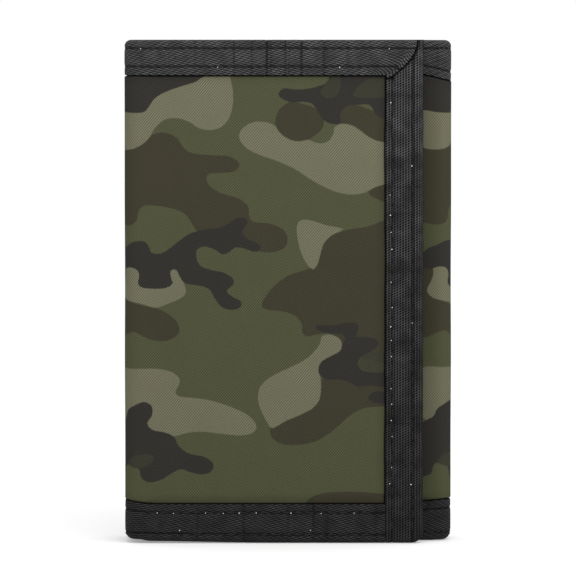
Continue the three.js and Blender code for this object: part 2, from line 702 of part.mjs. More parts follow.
const SLIDER_FACE = ROW_DEPTHS[1] + SLIDER_PLAY + SLIDER_PLATE; // inner face, toward the back leaf
const PULL_NEAR = SLIDER_FACE + SLIDER_PLAY;
const BAIL_NEAR = PULL_NEAR + PULL_THICKNESS + SLIDER_PLAY;
const PIN_X = TUCK_REACH - SLIDER_FROM_FOLD;

/** A round pin along the depth. */
function pinThrough([near, far], radius, x, z) {
  const pin = new THREE.CylinderGeometry(radius, radius, far - near, 16);
  return pin.translate(x, (near + far) / 2, z);
}

/** The slider: two plates joined by a neck, and a bail that holds the pull by a round pin. */
function addSlider() {
  const along = [PIN_X - SLIDER_LENGTH / 2, PIN_X + SLIDER_LENGTH / 2];
  const across = [ZIP_HEIGHT - SLIDER_WIDTH / 2, ZIP_HEIGHT + SLIDER_WIDTH / 2];
  const innerPlate = [SLIDER_FACE - SLIDER_PLATE, SLIDER_FACE];
  const outerPlateFar = ROW_DEPTHS[0] - SLIDER_PLAY;
  const outerPlate = [outerPlateFar - SLIDER_PLATE, outerPlateFar];
  const [neckLength, neckWidth] = SLIDER_NECK;
  const neckX = [along[1] - neckLength, along[1]];
  const neckZ = [ZIP_HEIGHT - neckWidth / 2, ZIP_HEIGHT + neckWidth / 2];
  const bailFar = BAIL_NEAR + BAIL_THICKNESS;
  const bailZ = [ZIP_HEIGHT - BAIL_PIN_RADIUS, ZIP_HEIGHT + BAIL_PIN_RADIUS];
  const bailEnd = PIN_X + BAIL_LENGTH - BAIL_PIN_RADIUS;
  const footX = [bailEnd - BAIL_PIN_RADIUS, bailEnd];
  const overlap = SLIDER_PLATE / 2;
  const pieces = [
    boxBetween(along, outerPlate, across),
    boxBetween(neckX, [outerPlate[1] - overlap, innerPlate[0] + overlap], neckZ),
    pinThrough([SLIDER_FACE - overlap, bailFar - overlap / 2], BAIL_PIN_RADIUS, PIN_X, ZIP_HEIGHT),
    boxBetween([PIN_X - BAIL_PIN_RADIUS, bailEnd], [BAIL_NEAR, bailFar], bailZ),
    boxBetween(footX, [SLIDER_FACE - overlap, BAIL_NEAR + overlap], bailZ),
  ];
  let solid = toSolid(boxBetween(along, innerPlate, across));
  for (const piece of pieces) {
    solid = solid.add(toSolid(piece));
  }
  addPiece(tuckGroup, 'zip_slider', toGeometry(solid), DARK_METAL);
}

/** The pull: a flat tongue hanging from the pin by its eye. */
function addPull() {
  const halfWidth = PULL_WIDTH / 2;
  const tip = ZIP_HEIGHT - PULL_LENGTH;
  const shoulder = Math.acos(halfWidth / PULL_EYE_RADIUS);
  const outline = new THREE.Shape();
  outline.absarc(PIN_X, ZIP_HEIGHT, PULL_EYE_RADIUS, -shoulder, Math.PI + shoulder, false);
  outline.lineTo(PIN_X - halfWidth, tip + halfWidth);
  outline.absarc(PIN_X, tip + halfWidth, halfWidth, Math.PI, Math.PI * 2, false);
  const eye = new THREE.Path();
  eye.absarc(PIN_X, ZIP_HEIGHT, BAIL_PIN_RADIUS + PULL_PLAY, 0, Math.PI * 2, true);
  outline.holes.push(eye);
  const pull = throughDepth(outline, [PULL_NEAR, PULL_NEAR + PULL_THICKNESS]);
  addPiece(tuckGroup, 'zip_pull', pull, DARK_METAL);
}

addSlider();
addPull();

export default wallet;
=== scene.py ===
"""A trifold wallet of printed cloth bound with black tape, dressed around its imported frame.

The wallet's shell is one band of cloth that runs, seen from outside and from left to right, over the
tuck, the right spine, the back, the left spine and the flap. Every cloth, lining and tape surface is
worked out on that band: a place is its distance along the band, its height and its depth below the
outer face of the tape. Lengths are in metres, and names that end in _MM are in millimetres.
"""
import logging
from dataclasses import dataclass, field
from enum import Enum
from typing import Callable, Sequence

import bpy
import numpy as np
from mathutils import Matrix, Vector


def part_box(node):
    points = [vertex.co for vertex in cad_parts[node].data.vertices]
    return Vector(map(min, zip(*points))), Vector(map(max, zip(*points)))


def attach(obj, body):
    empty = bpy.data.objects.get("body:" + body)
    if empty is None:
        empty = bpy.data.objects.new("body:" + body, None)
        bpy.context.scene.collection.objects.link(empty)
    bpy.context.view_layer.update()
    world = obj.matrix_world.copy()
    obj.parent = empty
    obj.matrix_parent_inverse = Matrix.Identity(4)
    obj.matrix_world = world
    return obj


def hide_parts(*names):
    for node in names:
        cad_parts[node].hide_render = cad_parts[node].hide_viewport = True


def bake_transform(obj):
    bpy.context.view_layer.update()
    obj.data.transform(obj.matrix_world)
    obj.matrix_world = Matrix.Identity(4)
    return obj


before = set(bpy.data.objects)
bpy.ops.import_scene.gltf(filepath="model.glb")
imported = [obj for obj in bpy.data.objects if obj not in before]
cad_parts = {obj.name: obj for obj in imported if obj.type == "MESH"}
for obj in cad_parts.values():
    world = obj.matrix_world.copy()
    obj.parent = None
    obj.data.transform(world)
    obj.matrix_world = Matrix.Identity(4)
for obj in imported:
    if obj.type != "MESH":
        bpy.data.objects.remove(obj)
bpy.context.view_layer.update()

logging.basicConfig(level=logging.INFO, format="%(message)s")
LOG = logging.getLogger("wallet")

MM = 1e-3
Array = np.ndarray
Piece = bpy.types.Object
Material = bpy.types.Material
Socket = bpy.types.NodeSocket


# ---- the frame's sizes


@dataclass(frozen=True)
class Plan:
    """The wallet's plan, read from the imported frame."""

    left: float
    right: float
    front: float
    rear: float
    top: float
    tuck_face: float
    tuck_edge: float
    flap_edge: float
    inner_top: float
    fold_radius: float = 3.6 * MM

    @staticmethod
    def from_frame() -> "Plan":
        """Read the sizes from the boxes of the frame's nodes.

        Returns:
            The plan in metres.
        """
        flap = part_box("flap_edge_binding")
        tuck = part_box("tuck_edge_binding")
        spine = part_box("left_spine_top_binding")
        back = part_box("back_top_binding")
        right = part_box("right_spine_top_binding")
        return Plan(
            left=float(spine[0][0]),
            right=float(right[1][0]),
            front=float(flap[0][1]),
            rear=float(back[1][1]),
            top=float(flap[1][2]),
            tuck_face=float(tuck[0][1]),
            tuck_edge=float(tuck[0][0]),
            flap_edge=float(flap[1][0]),
            inner_top=float(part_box("flap_inner_top_binding")[1][2]),
        )


PLAN = Plan.from_frame()


# ---- the band


@dataclass(frozen=True)
class Stretch:
    """A straight stretch of the band, or a quarter turn to the left."""

    start: float
    length: float
    origin: tuple[float, float]
    heading: tuple[float, float]
    turns: bool


class Band:
    """The path of the shell's outer face, from the tuck's free edge to the flap's."""

    def __init__(self, plan: Plan) -> None:
        """Lay the stretches end to end so that the flap's place is its distance from the left side."""
        r = plan.fold_radius
        quarter = np.pi / 2 * r
        corners = [
            ((1.0, 0.0), plan.right - r - plan.tuck_edge, (plan.tuck_edge, plan.tuck_face)),
            ((0.0, 1.0), plan.rear - plan.tuck_face - 2 * r, (plan.right, plan.tuck_face + r)),
            ((-1.0, 0.0), plan.right - plan.left - 2 * r, (plan.right - r, plan.rear)),
            ((0.0, -1.0), plan.rear - plan.front - 2 * r, (plan.left, plan.rear - r)),
            ((1.0, 0.0), plan.flap_edge - plan.left - r, (plan.left + r, plan.front)),
        ]
        total = sum(length for _, length, _ in corners[:-1]) + 4 * quarter
        place = r - total
        self.radius = r
        self.stretches: list[Stretch] = []
        self.straights: list[tuple[float, float]] = []
        for i, (heading, length, origin) in enumerate(corners):
            self.stretches.append(Stretch(place, length, origin, heading, False))
            self.straights.append((place, place + length))
            place += length
            if i < len(corners) - 1:
                end = (origin[0] + heading[0] * length, origin[1] + heading[1] * length)
                self.stretches.append(Stretch(place, quarter, end, heading, True))
                place += quarter

    def place(self, along: Array, depth: Array, height: Array) -> Array:
        """Points of the band.

        A straight point is origin + heading * distance + inward * depth. In a turn, the centre is
        origin + inward * radius, and the point lies radius - depth outward from it, turned by
        distance / radius.

        Args:
            along: distance along the band.
            depth: depth below the outer face.
            height: height above the floor.

        Returns:
            Points, with x, y and z along a new last axis.
        """
        along, depth, height = np.broadcast_arrays(along, depth, height)
        x = np.zeros(along.shape)
        y = np.zeros(along.shape)
        for i, part in enumerate(self.stretches):
            low = part.start if i else -np.inf
            high = part.start + part.length if i < len(self.stretches) - 1 else np.inf
            here = (along >= low) & (along < high)
            distance = along - part.start
            hx, hy = part.heading
            ox, oy = part.origin
            if part.turns:
                angle = distance / self.radius
                reach = np.maximum(self.radius - depth, 0.05 * MM)
                nx = -hy * np.cos(angle) - hx * np.sin(angle)
                ny = hx * np.cos(angle) - hy * np.sin(angle)
                px = ox - hy * self.radius - nx * reach
                py = oy + hx * self.radius - ny * reach
            else:
                px = ox + hx * distance - hy * depth
                py = oy + hy * distance + hx * depth
            x = np.where(here, px, x)
            y = np.where(here, py, y)
        return np.stack([x, y, height], axis=-1)


BAND = Band(PLAN)
TUCK, RIGHT_SPINE, BACK, LEFT_SPINE, FLAP = range(5)


def middle(stretch: int) -> float:
    """The middle of one of the band's five straight stretches."""
    low, high = BAND.straights[stretch]
    return (low + high) / 2


@dataclass(frozen=True)
class Span:
    """A length of the band that bends across one fold."""

    name: str
    start: float
    end: float
    bodies: tuple[str, str]
    corner: tuple[float, float]
    toward_first: tuple[float, float]
    toward_second: tuple[float, float]

    def bend(self, piece: Piece) -> None:
        """Bake the piece's placement into its points."""
        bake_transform(piece)

    def ends(self, inset: float) -> tuple[float, float]:
        """Where the span starts and ends, drawn in by an inset at a free edge."""
        start = self.start + (inset if self.name == "tuck" else 0)
        end = self.end - (inset if self.name == "flap" else 0)
        return start, end


TUCK_SPAN = Span("tuck", BAND.straights[TUCK][0], middle(RIGHT_SPINE), ("right_spine", "tuck"),
                 (PLAN.right, PLAN.tuck_face), (0, 1), (-1, 0))
RIGHT_SPAN = Span("right", middle(RIGHT_SPINE), middle(BACK), ("back", "right_spine"),
                  (PLAN.right, PLAN.rear), (-1, 0), (0, -1))
LEFT_SPAN = Span("left", middle(BACK), middle(LEFT_SPINE), ("back", "left_spine"),
                 (PLAN.left, PLAN.rear), (1, 0), (0, -1))
FLAP_SPAN = Span("flap", middle(LEFT_SPINE), BAND.straights[FLAP][1], ("left_spine", "flap"),
                 (PLAN.left, PLAN.front), (0, 1), (1, 0))
SPANS = (TUCK_SPAN, RIGHT_SPAN, LEFT_SPAN, FLAP_SPAN)

REPLACED = {
    "tuck": ("tuck", "right_spine"),
    "right": (),
    "left": ("back", "left_spine"),
    "flap": ("flap",),
}


def nodes_of(span: Span, suffix: str) -> list[str]:
    """The frame's nodes that a piece on this span stands for."""
    return [f"{leaf}_{suffix}" for leaf in REPLACED[span.name]]


# ---- meshes

SHARP_ANGLE = np.radians(50)


def quads(rows: int, columns: int, first: int, flip: bool) -> Array:
    """Faces of a grid of points, numbered row by row from first.

    Args:
        rows: number of rows of points.
        columns: number of points in a row.
        first: number of the grid's first point.
        flip: whether to turn the faces over.

    Returns:
        The four corner numbers of each face.
    """
    here = np.arange(rows - 1)[:, None] * columns + np.arange(columns - 1)[None]
    after = here + columns
    faces = np.stack([here, after, after + 1, here + 1], axis=-1).reshape(-1, 4) + first
    return faces[:, ::-1] if flip else faces


def ring_quads(rows: int, columns: int) -> Array:
    """Faces of a grid of points whose last row joins the first, and last column the first."""
    row = np.arange(rows)[:, None] * columns
    column = np.arange(columns)[None]
    next_row, next_column = np.roll(row, -1), np.roll(column, -1)
    faces = (row + column, next_row + column, next_row + next_column, row + next_column)
    return np.stack(faces, -1).reshape(-1, 4)


def make_mesh(name: str, points: Array, faces: Array) -> Piece:
    """Put points and faces, shaded smooth, into a new object at the origin.

    The faces are turned over if the solid that they close would have a negative volume.

    Args:
        name: the piece's name.
        points: one row of x, y, z for each point.
        faces: rows of point numbers, three or four to a face.

    Returns:
        The new object.
    """
    mesh = bpy.data.meshes.new(name)
    corners = faces.shape[1]
    halves = faces if corners == 3 else np.concatenate([faces[:, :3], faces[:, [0, 2, 3]]])
    fan = points[halves]
    if np.einsum("ij,ij->i", fan[:, 0], np.cross(fan[:, 1], fan[:, 2])).sum() < 0:
        faces = faces[:, ::-1]
    mesh.vertices.add(len(points))
    mesh.vertices.foreach_set("co", points.astype(np.float32).ravel())
    mesh.loops.add(faces.size)
    mesh.loops.foreach_set("vertex_index", faces.astype(np.int32).ravel())
    mesh.polygons.add(len(faces))
    mesh.polygons.foreach_set("loop_start", np.arange(0, faces.size, corners, dtype=np.int32))
    mesh.polygons.foreach_set("use_smooth", np.full(len(faces), True))
    mesh.update(calc_edges=True)
    mesh.validate()
    piece = bpy.data.objects.new(name, mesh)
    bpy.context.scene.collection.objects.link(piece)
    return piece


def add_vector(piece: Piece, name: str, values: Array) -> None:
    """Store a vector for each point of a piece."""
    attribute = piece.data.attributes.new(name, "FLOAT_VECTOR", "POINT")
    attribute.data.foreach_set("vector", values.astype(np.float32).ravel())


def add_number(piece: Piece, name: str, values: Array) -> None:
    """Store a number for each point of a piece."""
    attribute = piece.data.attributes.new(name, "FLOAT", "POINT")
    attribute.data.foreach_set("value", values.astype(np.float32).ravel())


def closed_sheet(name: str, outer: Array, inner: Array, flat: Array) -> Piece:
    """A closed sheet between an outer and an inner grid of points.

    The outer grid's faces look along rows x columns, the inner grid's the other way, and a strip of
    faces closes each of the four sides.

    Args:
        name: the piece's name.
        outer: points of the outer face, rows by columns by 3.
        inner: points of the inner face, of the same shape.
        flat: where each point lies on the flat cloth, in millimetres, of the same shape.

    Returns:
        The new object, with the attribute flat.
    """
    rows, columns, _ = outer.shape
    count = rows * columns
    number = np.arange(count).reshape(rows, columns)
    loop = np.concatenate([number[:, 0], number[-1, 1:], number[-2::-1, -1], number[0, -2:0:-1]])
    after = np.roll(loop, -1)
    rim = np.stack([after, loop, loop + count, after + count], axis=-1)
    faces = np.concatenate([quads(rows, columns, 0, False), quads(rows, columns, count, True), rim])
    points = np.concatenate([outer.reshape(-1, 3), inner.reshape(-1, 3)])
    piece = make_mesh(name, points, faces)
    piece.data.set_sharp_from_angle(angle=SHARP_ANGLE)
    add_vector(piece, "flat", np.concatenate([flat.reshape(-1, 3)] * 2))
    return piece


def on_both_faces(piece: Piece, name: str, values: Array) -> None:
    """Store one number for each place of a closed sheet, the same on its outer and inner face."""
    add_number(piece, name, np.concatenate([values.ravel()] * 2))


def flat_places(along: Array, up: Array) -> Array:
    """Places on the flat cloth, in millimetres, from two coordinates in metres."""
    return np.stack([along, up, np.zeros_like(along)], -1) / MM


def band_sheet(name: str, along: Array, near: Array | float, far: Array | float,
               height: Array) -> Piece:
    """A closed sheet on the band, from its outer depth to its inner one."""
    outer, inner = BAND.place(along, near, height), BAND.place(along, far, height)
    return closed_sheet(name, outer, inner, flat_places(along, height))


def hem_edge(into: Array, width: float) -> Array:
    """One over a hem of a width, falling to nought over half a millimetre past it."""
    return 1 - smooth_step((into - width) / (0.5 * MM))


def seam_line(into: Array, place: float) -> Array:
    """A bell curve on a line of stitching, one at its middle."""
    return np.exp(-((into - place) / (0.3 * MM)) ** 2)


def upright_sheet(name: str, x: Array, z: Array, front: Array, back: Array) -> Piece:
    """A closed sheet that stands square to the front, from its front face to its back one."""
    return closed_sheet(name, np.stack([x, front, z], -1), np.stack([x, back, z], -1), flat_places(x, z))


def corners_of(node: str) -> tuple[Array, Array]:
    """The lowest and the highest corner of a frame node's box."""
    low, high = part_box(node)
    return np.array(low, float), np.array(high, float)


def spaced(start: float, end: float, step: float) -> Array:
    """Evenly spaced values from start to end, no further apart than step."""
    return np.linspace(start, end, max(2, int(np.ceil(abs(end - start) / step)) + 1))


def smooth_step(x: Array) -> Array:
    """Zero below 0, one above 1, and 3x^2 - 2x^3 between them."""
    x = np.clip(x, 0, 1)
    return x * x * (3 - 2 * x)


def between(first: Array, last: Array | float, share: Array) -> Array:
    """The value a share of the way from the first to the last."""
    return first + (last - first) * share


def ripple(values: Array, wavelengths_mm: Sequence[float], seed: int) -> Array:
    """A smooth uneven line: the mean of one sine for each wavelength, with seeded phases."""
    phases = np.random.RandomState(seed).uniform(0, 2 * np.pi, len(wavelengths_mm))
    waves = [np.sin(values / (w * MM) * 2 * np.pi + p) for w, p in zip(wavelengths_mm, phases)]
    return np.mean(waves, axis=0)


def edge_wobble(height: Array) -> Array:
    """How far the upright tape's inner edge strays from straight."""
    return ripple(height, (19, 43, 71), 8) * 0.15 * MM


# ---- materials


def linear(hex_colour: str) -> tuple[float, float, float, float]:
    """An sRGB hex colour as linear red, green, blue and alpha."""
    channels = np.array([int(hex_colour[i:i + 2], 16) for i in (1, 3, 5)]) / 255
    low = channels / 12.92
    high = ((channels + 0.055) / 1.055) ** 2.4
    return (*np.where(channels <= 0.04045, low, high).tolist(), 1.0)


class Tree:
    """A material's node tree, with one method that adds a node."""

    def __init__(self, name: str) -> None:
        """Start a material with a principled shader."""
        self.material = bpy.data.materials.new(name)
        self.material.use_nodes = True
        self.nodes = self.material.node_tree.nodes
        self.links = self.material.node_tree.links
        self.shader = self.nodes["Principled BSDF"]

    def add(self, kind: str, settings: dict | None = None, inputs: dict | None = None) -> bpy.types.Node:
        """Add a node with its settings and inputs.

        Args:
            kind: the node's type name.
            settings: values of the node's own properties.
            inputs: for each input's name or number, a value or the socket that feeds it.

        Returns:
            The new node.
        """
        node = self.nodes.new(kind)
        for key, value in (settings or {}).items():
            setattr(node, key, value)
        for key, value in (inputs or {}).items():
            self.feed(node.inputs[key], value)
        return node

    def feed(self, socket: Socket, value: object) -> None:
        """Link a socket to another, or set its value."""
        if isinstance(value, Socket):
            self.links.new(value, socket)
        else:
            socket.default_value = value

    def maths(self, operation: str, *values: object) -> Socket:
        """The result of one Math node."""
        return self.add("ShaderNodeMath", {"operation": operation}, dict(enumerate(values))).outputs[0]

    def times(self, first: object, second: object) -> Socket:
        """The product of two values."""
        return self.maths("MULTIPLY", first, second)

    def scaled(self, value: object, factor: object, added: object) -> Socket:
        """A value times a factor, with something added."""
        return self.maths("MULTIPLY_ADD", value, factor, added)

    def mix(self, amount: object, first: object, second: object) -> Socket:
        """Two colours mixed by an amount."""
        node = self.add("ShaderNodeMix", {"data_type": "RGBA"}, {"Factor": amount, 6: first, 7: second})
        return node.outputs[2]

    def toned(self, colour: object, shade: object) -> Socket:
        """A colour made lighter or darker by a factor."""
        grey = self.add("ShaderNodeCombineXYZ", inputs={0: shade, 1: shade, 2: shade}).outputs[0]
        node = self.add("ShaderNodeMix", {"data_type": "RGBA", "blend_type": "MULTIPLY"},
                        {"Factor": 1.0, 6: colour, 7: grey})
        return node.outputs[2]

    def number(self, name: str) -> Socket:
        """A number stored on the piece's points."""
        return self.add("ShaderNodeAttribute", {"attribute_name": name}).outputs["Fac"]

    def place(self) -> Socket:
        """The object's own coordinates, in metres."""
        return self.add("ShaderNodeTexCoord").outputs["Object"]

    def height(self) -> Socket:
        """The height above the floor, in metres."""
        return self.add("ShaderNodeSeparateXYZ", inputs={0: self.place()}).outputs[2]

    def flat(self) -> tuple[Socket, Socket, Socket]:
        """The flat cloth's two coordinates in millimetres, and both as a vector."""
        vector = self.add("ShaderNodeAttribute", {"attribute_name": "flat"}).outputs["Vector"]
        parts = self.add("ShaderNodeSeparateXYZ", inputs={0: vector})
        return parts.outputs[0], parts.outputs[1], vector

    def wave(self, across: object, pitch_mm: float) -> Socket:
        """A sine of a coordinate, from -1 to 1, once in each pitch."""
        return self.maths("SINE", self.times(across, 2 * np.pi / pitch_mm))

    def noise(self, vector: object, scale: float, detail: float = 2.0) -> Socket:
        """Smooth noise from 0 to 1."""
        return self.add("ShaderNodeTexNoise", inputs={"Vector": vector, "Scale": scale,
                                                      "Detail": detail}).outputs["Fac"]

    def ramp(self, value: object, start: float, end: float, first: float,
             last: float) -> Socket:
        """A value from first to last as the input goes from start to end, held at both ends."""
        return self.add("ShaderNodeMapRange", inputs={0: value, 1: start, 2: end, 3: first,
                                                      4: last}).outputs[0]

    def bump(self, height: object, distance_mm: float, strength: float = 1.0) -> None:
        """Raise the surface by a height from 0 to 1 times a distance."""
        node = self.add("ShaderNodeBump", inputs={"Strength": strength, "Distance": distance_mm * MM,
                                                  "Height": height})
        self.feed(self.shader.inputs["Normal"], node.outputs["Normal"])

    def surface(self, colour: object, roughness: object, **constants: object) -> None:
        """Set the shader's colour and roughness, and plain values of its other sockets."""
        self.feed(self.shader.inputs["Base Color"], colour)
        self.feed(self.shader.inputs["Roughness"], roughness)
        for key, value in constants.items():
            self.shader.inputs[key.replace("_", " ")].default_value = value


# What goes in, from and to, and what comes out, from and to.
Range = tuple[float, float, float, float]


@dataclass(frozen=True)
class PrintedPolyester:
    """Matt woven polyester with a four-colour camouflage print.

    The eye sees flat, rounded blotches with clean edges and a fine diagonal twill over all of them. The
    colour also carries painted shade, a thin black shadow line where the cloth runs under the tape and a
    softer shade beside it, and painted light that makes the cloth lighter towards the top.
    """

    olive: str = "#454733"
    brown: str = "#373529"
    khaki: str = "#61604e"
    black: str = "#2c2b28"
    haze: str = "#35342a"
    haze_strength: float = 0.85
    # The real twill is about 0.38 mm from rib to rib. It is drawn at 0.52 mm so that it shows.
    rib_pitch_mm: float = 0.52
    rib_slope: float = 0.85
    rib_share: float = 0.65
    contrast: float = 0.95
    edge_softness_mm: float = 0.22
    edge_fray_mm: float = 0.35
    cloud_scale: float = 0.12
    cloud_depth: float = 0.12
    cloud_floor: float = 0.94
    # By height, in metres, for painted light that is lighter at the top and darker towards the bottom,
    # and by the distance to the tape in millimetres, for the painted shadow line and the softer shade.
    painted_height_light: Range = (0.0, PLAN.top, 0.93, 1.04)
    line_shadow: Range = (0.25, 0.55, 0.06, 1.0)
    soft_shadow: Range = (0.2, 3.0, 0.86, 1.0)

    def build(self) -> Material:
        """Make the material.

        Returns:
            The material, which reads the print's distance attributes and the flat coordinates.
        """
        tree = Tree("printed_woven_polyester")
        along, up, vector = tree.flat()
        fray = tree.times(tree.maths("SUBTRACT", tree.noise(vector, 2.2), 0.5), self.edge_fray_mm)
        colour: object = linear(self.olive)
        for name, ink in (("brown", self.brown), ("khaki", self.khaki), ("umber", self.brown),
                          ("black", self.black)):
            colour = tree.mix(self.mask(tree, name, fray), colour, linear(ink))
        haze = tree.times(self.mask(tree, "haze", fray), self.haze_strength)
        colour = tree.mix(haze, colour, linear(self.haze))

        weave = self.weave(tree, along, up)
        cloudy = tree.noise(vector, self.cloud_scale, 3.0)
        strength = tree.times(weave, tree.times(cloudy, self.contrast))
        shade = tree.maths("ADD", tree.scaled(cloudy, self.cloud_depth, self.cloud_floor), strength)
        # Painted light: the cloth is lighter towards the top and darker towards the bottom.
        shade = tree.times(shade, tree.ramp(tree.height(), *self.painted_height_light))
        # The distance to the tape sets a painted shadow line under the tape's edge and a softer painted shade
        # beside it.
        seam = tree.number("seam")
        dimmed = tree.times(tree.ramp(seam, *self.line_shadow), tree.ramp(seam, *self.soft_shadow))
        tree.surface(tree.toned(colour, tree.times(shade, dimmed)), 0.95, Specular_IOR_Level=0.06)
        tree.bump(tree.scaled(weave, 0.5, 0.5), 0.05, 0.5)
        return tree.material

    def weave(self, tree: Tree, along: object, up: object) -> Socket:
        """The twill: slanting ribs, and finer threads that cross them.

        A rib's slope makes its pitch wider on a level line than square across it.
        """
        widened = 1.3
        finer = 0.9
        rib = tree.wave(tree.maths("SUBTRACT", along, tree.times(up, self.rib_slope)),
                        self.rib_pitch_mm * widened)
        cross = tree.wave(tree.maths("ADD", along, up), self.rib_pitch_mm * finer)
        return tree.maths("ADD", tree.times(rib, self.rib_share), tree.times(cross, 1 - self.rib_share))

    def mask(self, tree: Tree, name: str, fray: object) -> Socket:
        """One inside the blotches of a name, nought outside, with an edge as soft as the weave."""
        distance = tree.maths("ADD", tree.number(name), fray)
        mask = tree.scaled(distance, 1 / self.edge_softness_mm, 0.5)
        return tree.add("ShaderNodeClamp", inputs={0: mask}).outputs[0]


class TapeRun(Enum):
    """Which way a tape's ribs lie on the wallet."""

    LEVEL = "level"
    UPRIGHT = "upright"


@dataclass(frozen=True)
class GrosgrainTape:
    """Woven nylon binding tape, charcoal black, with painted light that makes it paler towards the top.

    The eye sees threads as paler dashes over dark gaps, black stitch rows with painted shade in their
    grooves, darker pinches where the tape was gathered, painted as shade in the creases, and a painted
    shadow line in the gaps at the top tape's cut and along the flap's edge. Random patches are partly
    wear and partly painted sheen.
    """

    run: TapeRun
    # The colour runs from dark at the bottom to paler at the top: painted light, as the light from above
    # falls on the tape.
    dark: str = "#1f1f20"
    painted_top_light: str = "#343435"
    painted_light_power: float = 1.5
    # The real threads are about 0.4 mm apart. They are drawn at 0.58 to 0.72 mm so that they show.
    slant_pitch_mm: float = 0.58
    slant: float = 0.27
    grid_pitch_mm: tuple[float, float] = (0.72, 0.66)
    contrast: float = 2.4
    level_tone: float = 0.94
    upright_tone: float = 0.52
    least_tone: float = 0.05
    # By noise; by the distance in millimetres to the stitch row; and by the distance in millimetres to the
    # gap at the top tape's cut and along the flap's edge, where a shadow is painted.
    wear: Range = (0.32, 0.66, 0.3, 1.25)
    # Random lighter and darker patches: partly wear, partly painted sheen where the tape bulges.
    patches: Range = (0.32, 0.68, 0.74, 1.22)
    # Darker along each stitch row: the thread's dark line, and painted shade in the row's groove.
    stitch_thread_and_groove_shade: Range = (0.10, 0.45, 0.85, 0.0)
    painted_gap_shadow: Range = (0.25, 0.8, 0.97, 0.0)

    def build(self) -> Material:
        """Make the material.

        Returns:
            The material, which reads the flat coordinates along and across the tape, its stitch rows,
            creases and the distance that sets the painted gap shadow.
        """
        tree = Tree(f"grosgrain_nylon_tape_{self.run.value}")
        along, across, vector = tree.flat()
        wander = tree.times(tree.noise(vector, 0.22), 2.0)
        if self.run is TapeRun.LEVEL:
            weave, tone = self.dashes(tree, along, across, wander), self.level_tone
        else:
            weave, tone = self.grid(tree, along, across, wander), self.upright_tone
        wear = tree.ramp(tree.noise(vector, 0.22, 3.0), *self.wear)
        # Painted light: the tape grows paler with height.
        painted_light_share = tree.ramp(tree.height(), 0.0, PLAN.top, 0.0, 1.0)
        base = tree.mix(tree.maths("POWER", painted_light_share, self.painted_light_power), linear(self.dark), linear(self.painted_top_light))
        shade = tree.scaled(tree.times(weave, wear), self.contrast, tone)
        # Random patches: wear, and painted sheen on the bulges.
        shade = tree.times(shade, tree.ramp(tree.noise(vector, 0.3, 2.0), *self.patches))
        # Painted shade in the creases where the tape was gathered, broken into dots across the tape.
        pinch = tree.times(tree.number("crease"), tree.scaled(tree.wave(across, 0.55), 0.35, 0.85))
        # The stitch row's dark line: partly the thread, partly painted shade in its groove.
        stitch = tree.ramp(tree.number("row"), *self.stitch_thread_and_groove_shade)
        # Painted shadow in the gap at the top tape's cut and along the flap's edge.
        seam = tree.ramp(tree.number("seam"), *self.painted_gap_shadow)
        for dark in (pinch, stitch, seam):
            left = tree.maths("MAXIMUM", tree.maths("SUBTRACT", 1.0, dark), 0.04)
            shade = tree.times(shade, left)
        shade = tree.maths("MAXIMUM", shade, self.least_tone)
        tree.surface(tree.toned(base, shade), 0.85, Specular_IOR_Level=0.12)
        tree.bump(tree.scaled(weave, 0.5, 0.5), 0.08, 0.6)
        return tree.material

    def dashes(self, tree: Tree, along: object, across: object, wander: object) -> Socket:
        """Threads that slant a little along the tape, broken into dashes."""
        slanted = tree.scaled(along, self.slant, tree.scaled(wander, 0.25, across))
        threads = tree.wave(slanted, self.slant_pitch_mm)
        breaks = tree.wave(tree.scaled(across, 0.8, along), 1.0)
        return tree.times(threads, tree.scaled(breaks, 0.45, 0.55))

    def grid(self, tree: Tree, along: object, across: object, wander: object) -> Socket:
        """Rows and columns of threads, with a dark hole where two gaps meet."""
        wide, tall = self.grid_pitch_mm
        column = tree.wave(across, wide)
        row = tree.wave(tree.scaled(across, 0.5 * tall / wide, tree.scaled(wander, 0.15, along)), tall)
        hole = tree.times(tree.scaled(column, 0.5, 0.5), tree.scaled(row, 0.5, 0.5))
        return tree.scaled(hole, -3.8, 0.72)


@dataclass(frozen=True)
class WovenCloth:
    """Plain woven cloth of one colour, such as lining, pocket cloth or zip tape."""

    name: str
    colour: str
    thread_mm: float
    roughness: float = 0.8
    sheen: float = 0.1
    cloud_scale: float = 0.15
    weave_depth: float = 0.12

    def build(self) -> Material:
        """Make the material: threads over and under each other, lighter on their crowns."""
        tree = Tree(self.name)
        along, up, vector = tree.flat()
        weave = tree.times(tree.wave(along, self.thread_mm), tree.wave(up, self.thread_mm))
        cloudy = tree.noise(vector, self.cloud_scale, 3.0)
        shade = tree.scaled(weave, self.weave_depth, tree.scaled(cloudy, 0.3, 0.85))
        toned = tree.toned(linear(self.colour), shade)
        tree.surface(toned, self.roughness, Specular_IOR_Level=0.3, Sheen_Weight=self.sheen)
        tree.bump(tree.scaled(weave, 0.5, 0.5), 0.05, 0.6)
        return tree.material


@dataclass(frozen=True)
class PlainFinish:
    """A smooth finish with a little unevenness: metal, moulded nylon, board or thread."""

    name: str
    colour: str
    roughness: float
    metallic: float = 0.0
    grain_mm: float = 1.0
    bump_mm: float = 0.01

    def build(self) -> Material:
        """Make the material, with a fine grain from noise on the object's own coordinates."""
        tree = Tree(self.name)
        grain = tree.noise(tree.place(), 1 / (self.grain_mm * MM), 3.0)
        toned = tree.toned(linear(self.colour), tree.scaled(grain, 0.3, 0.85))
        rough = tree.scaled(grain, 0.16, self.roughness - 0.08)
        tree.surface(toned, rough, Metallic=self.metallic)
        tree.bump(grain, self.bump_mm, 0.5)
        return tree.material


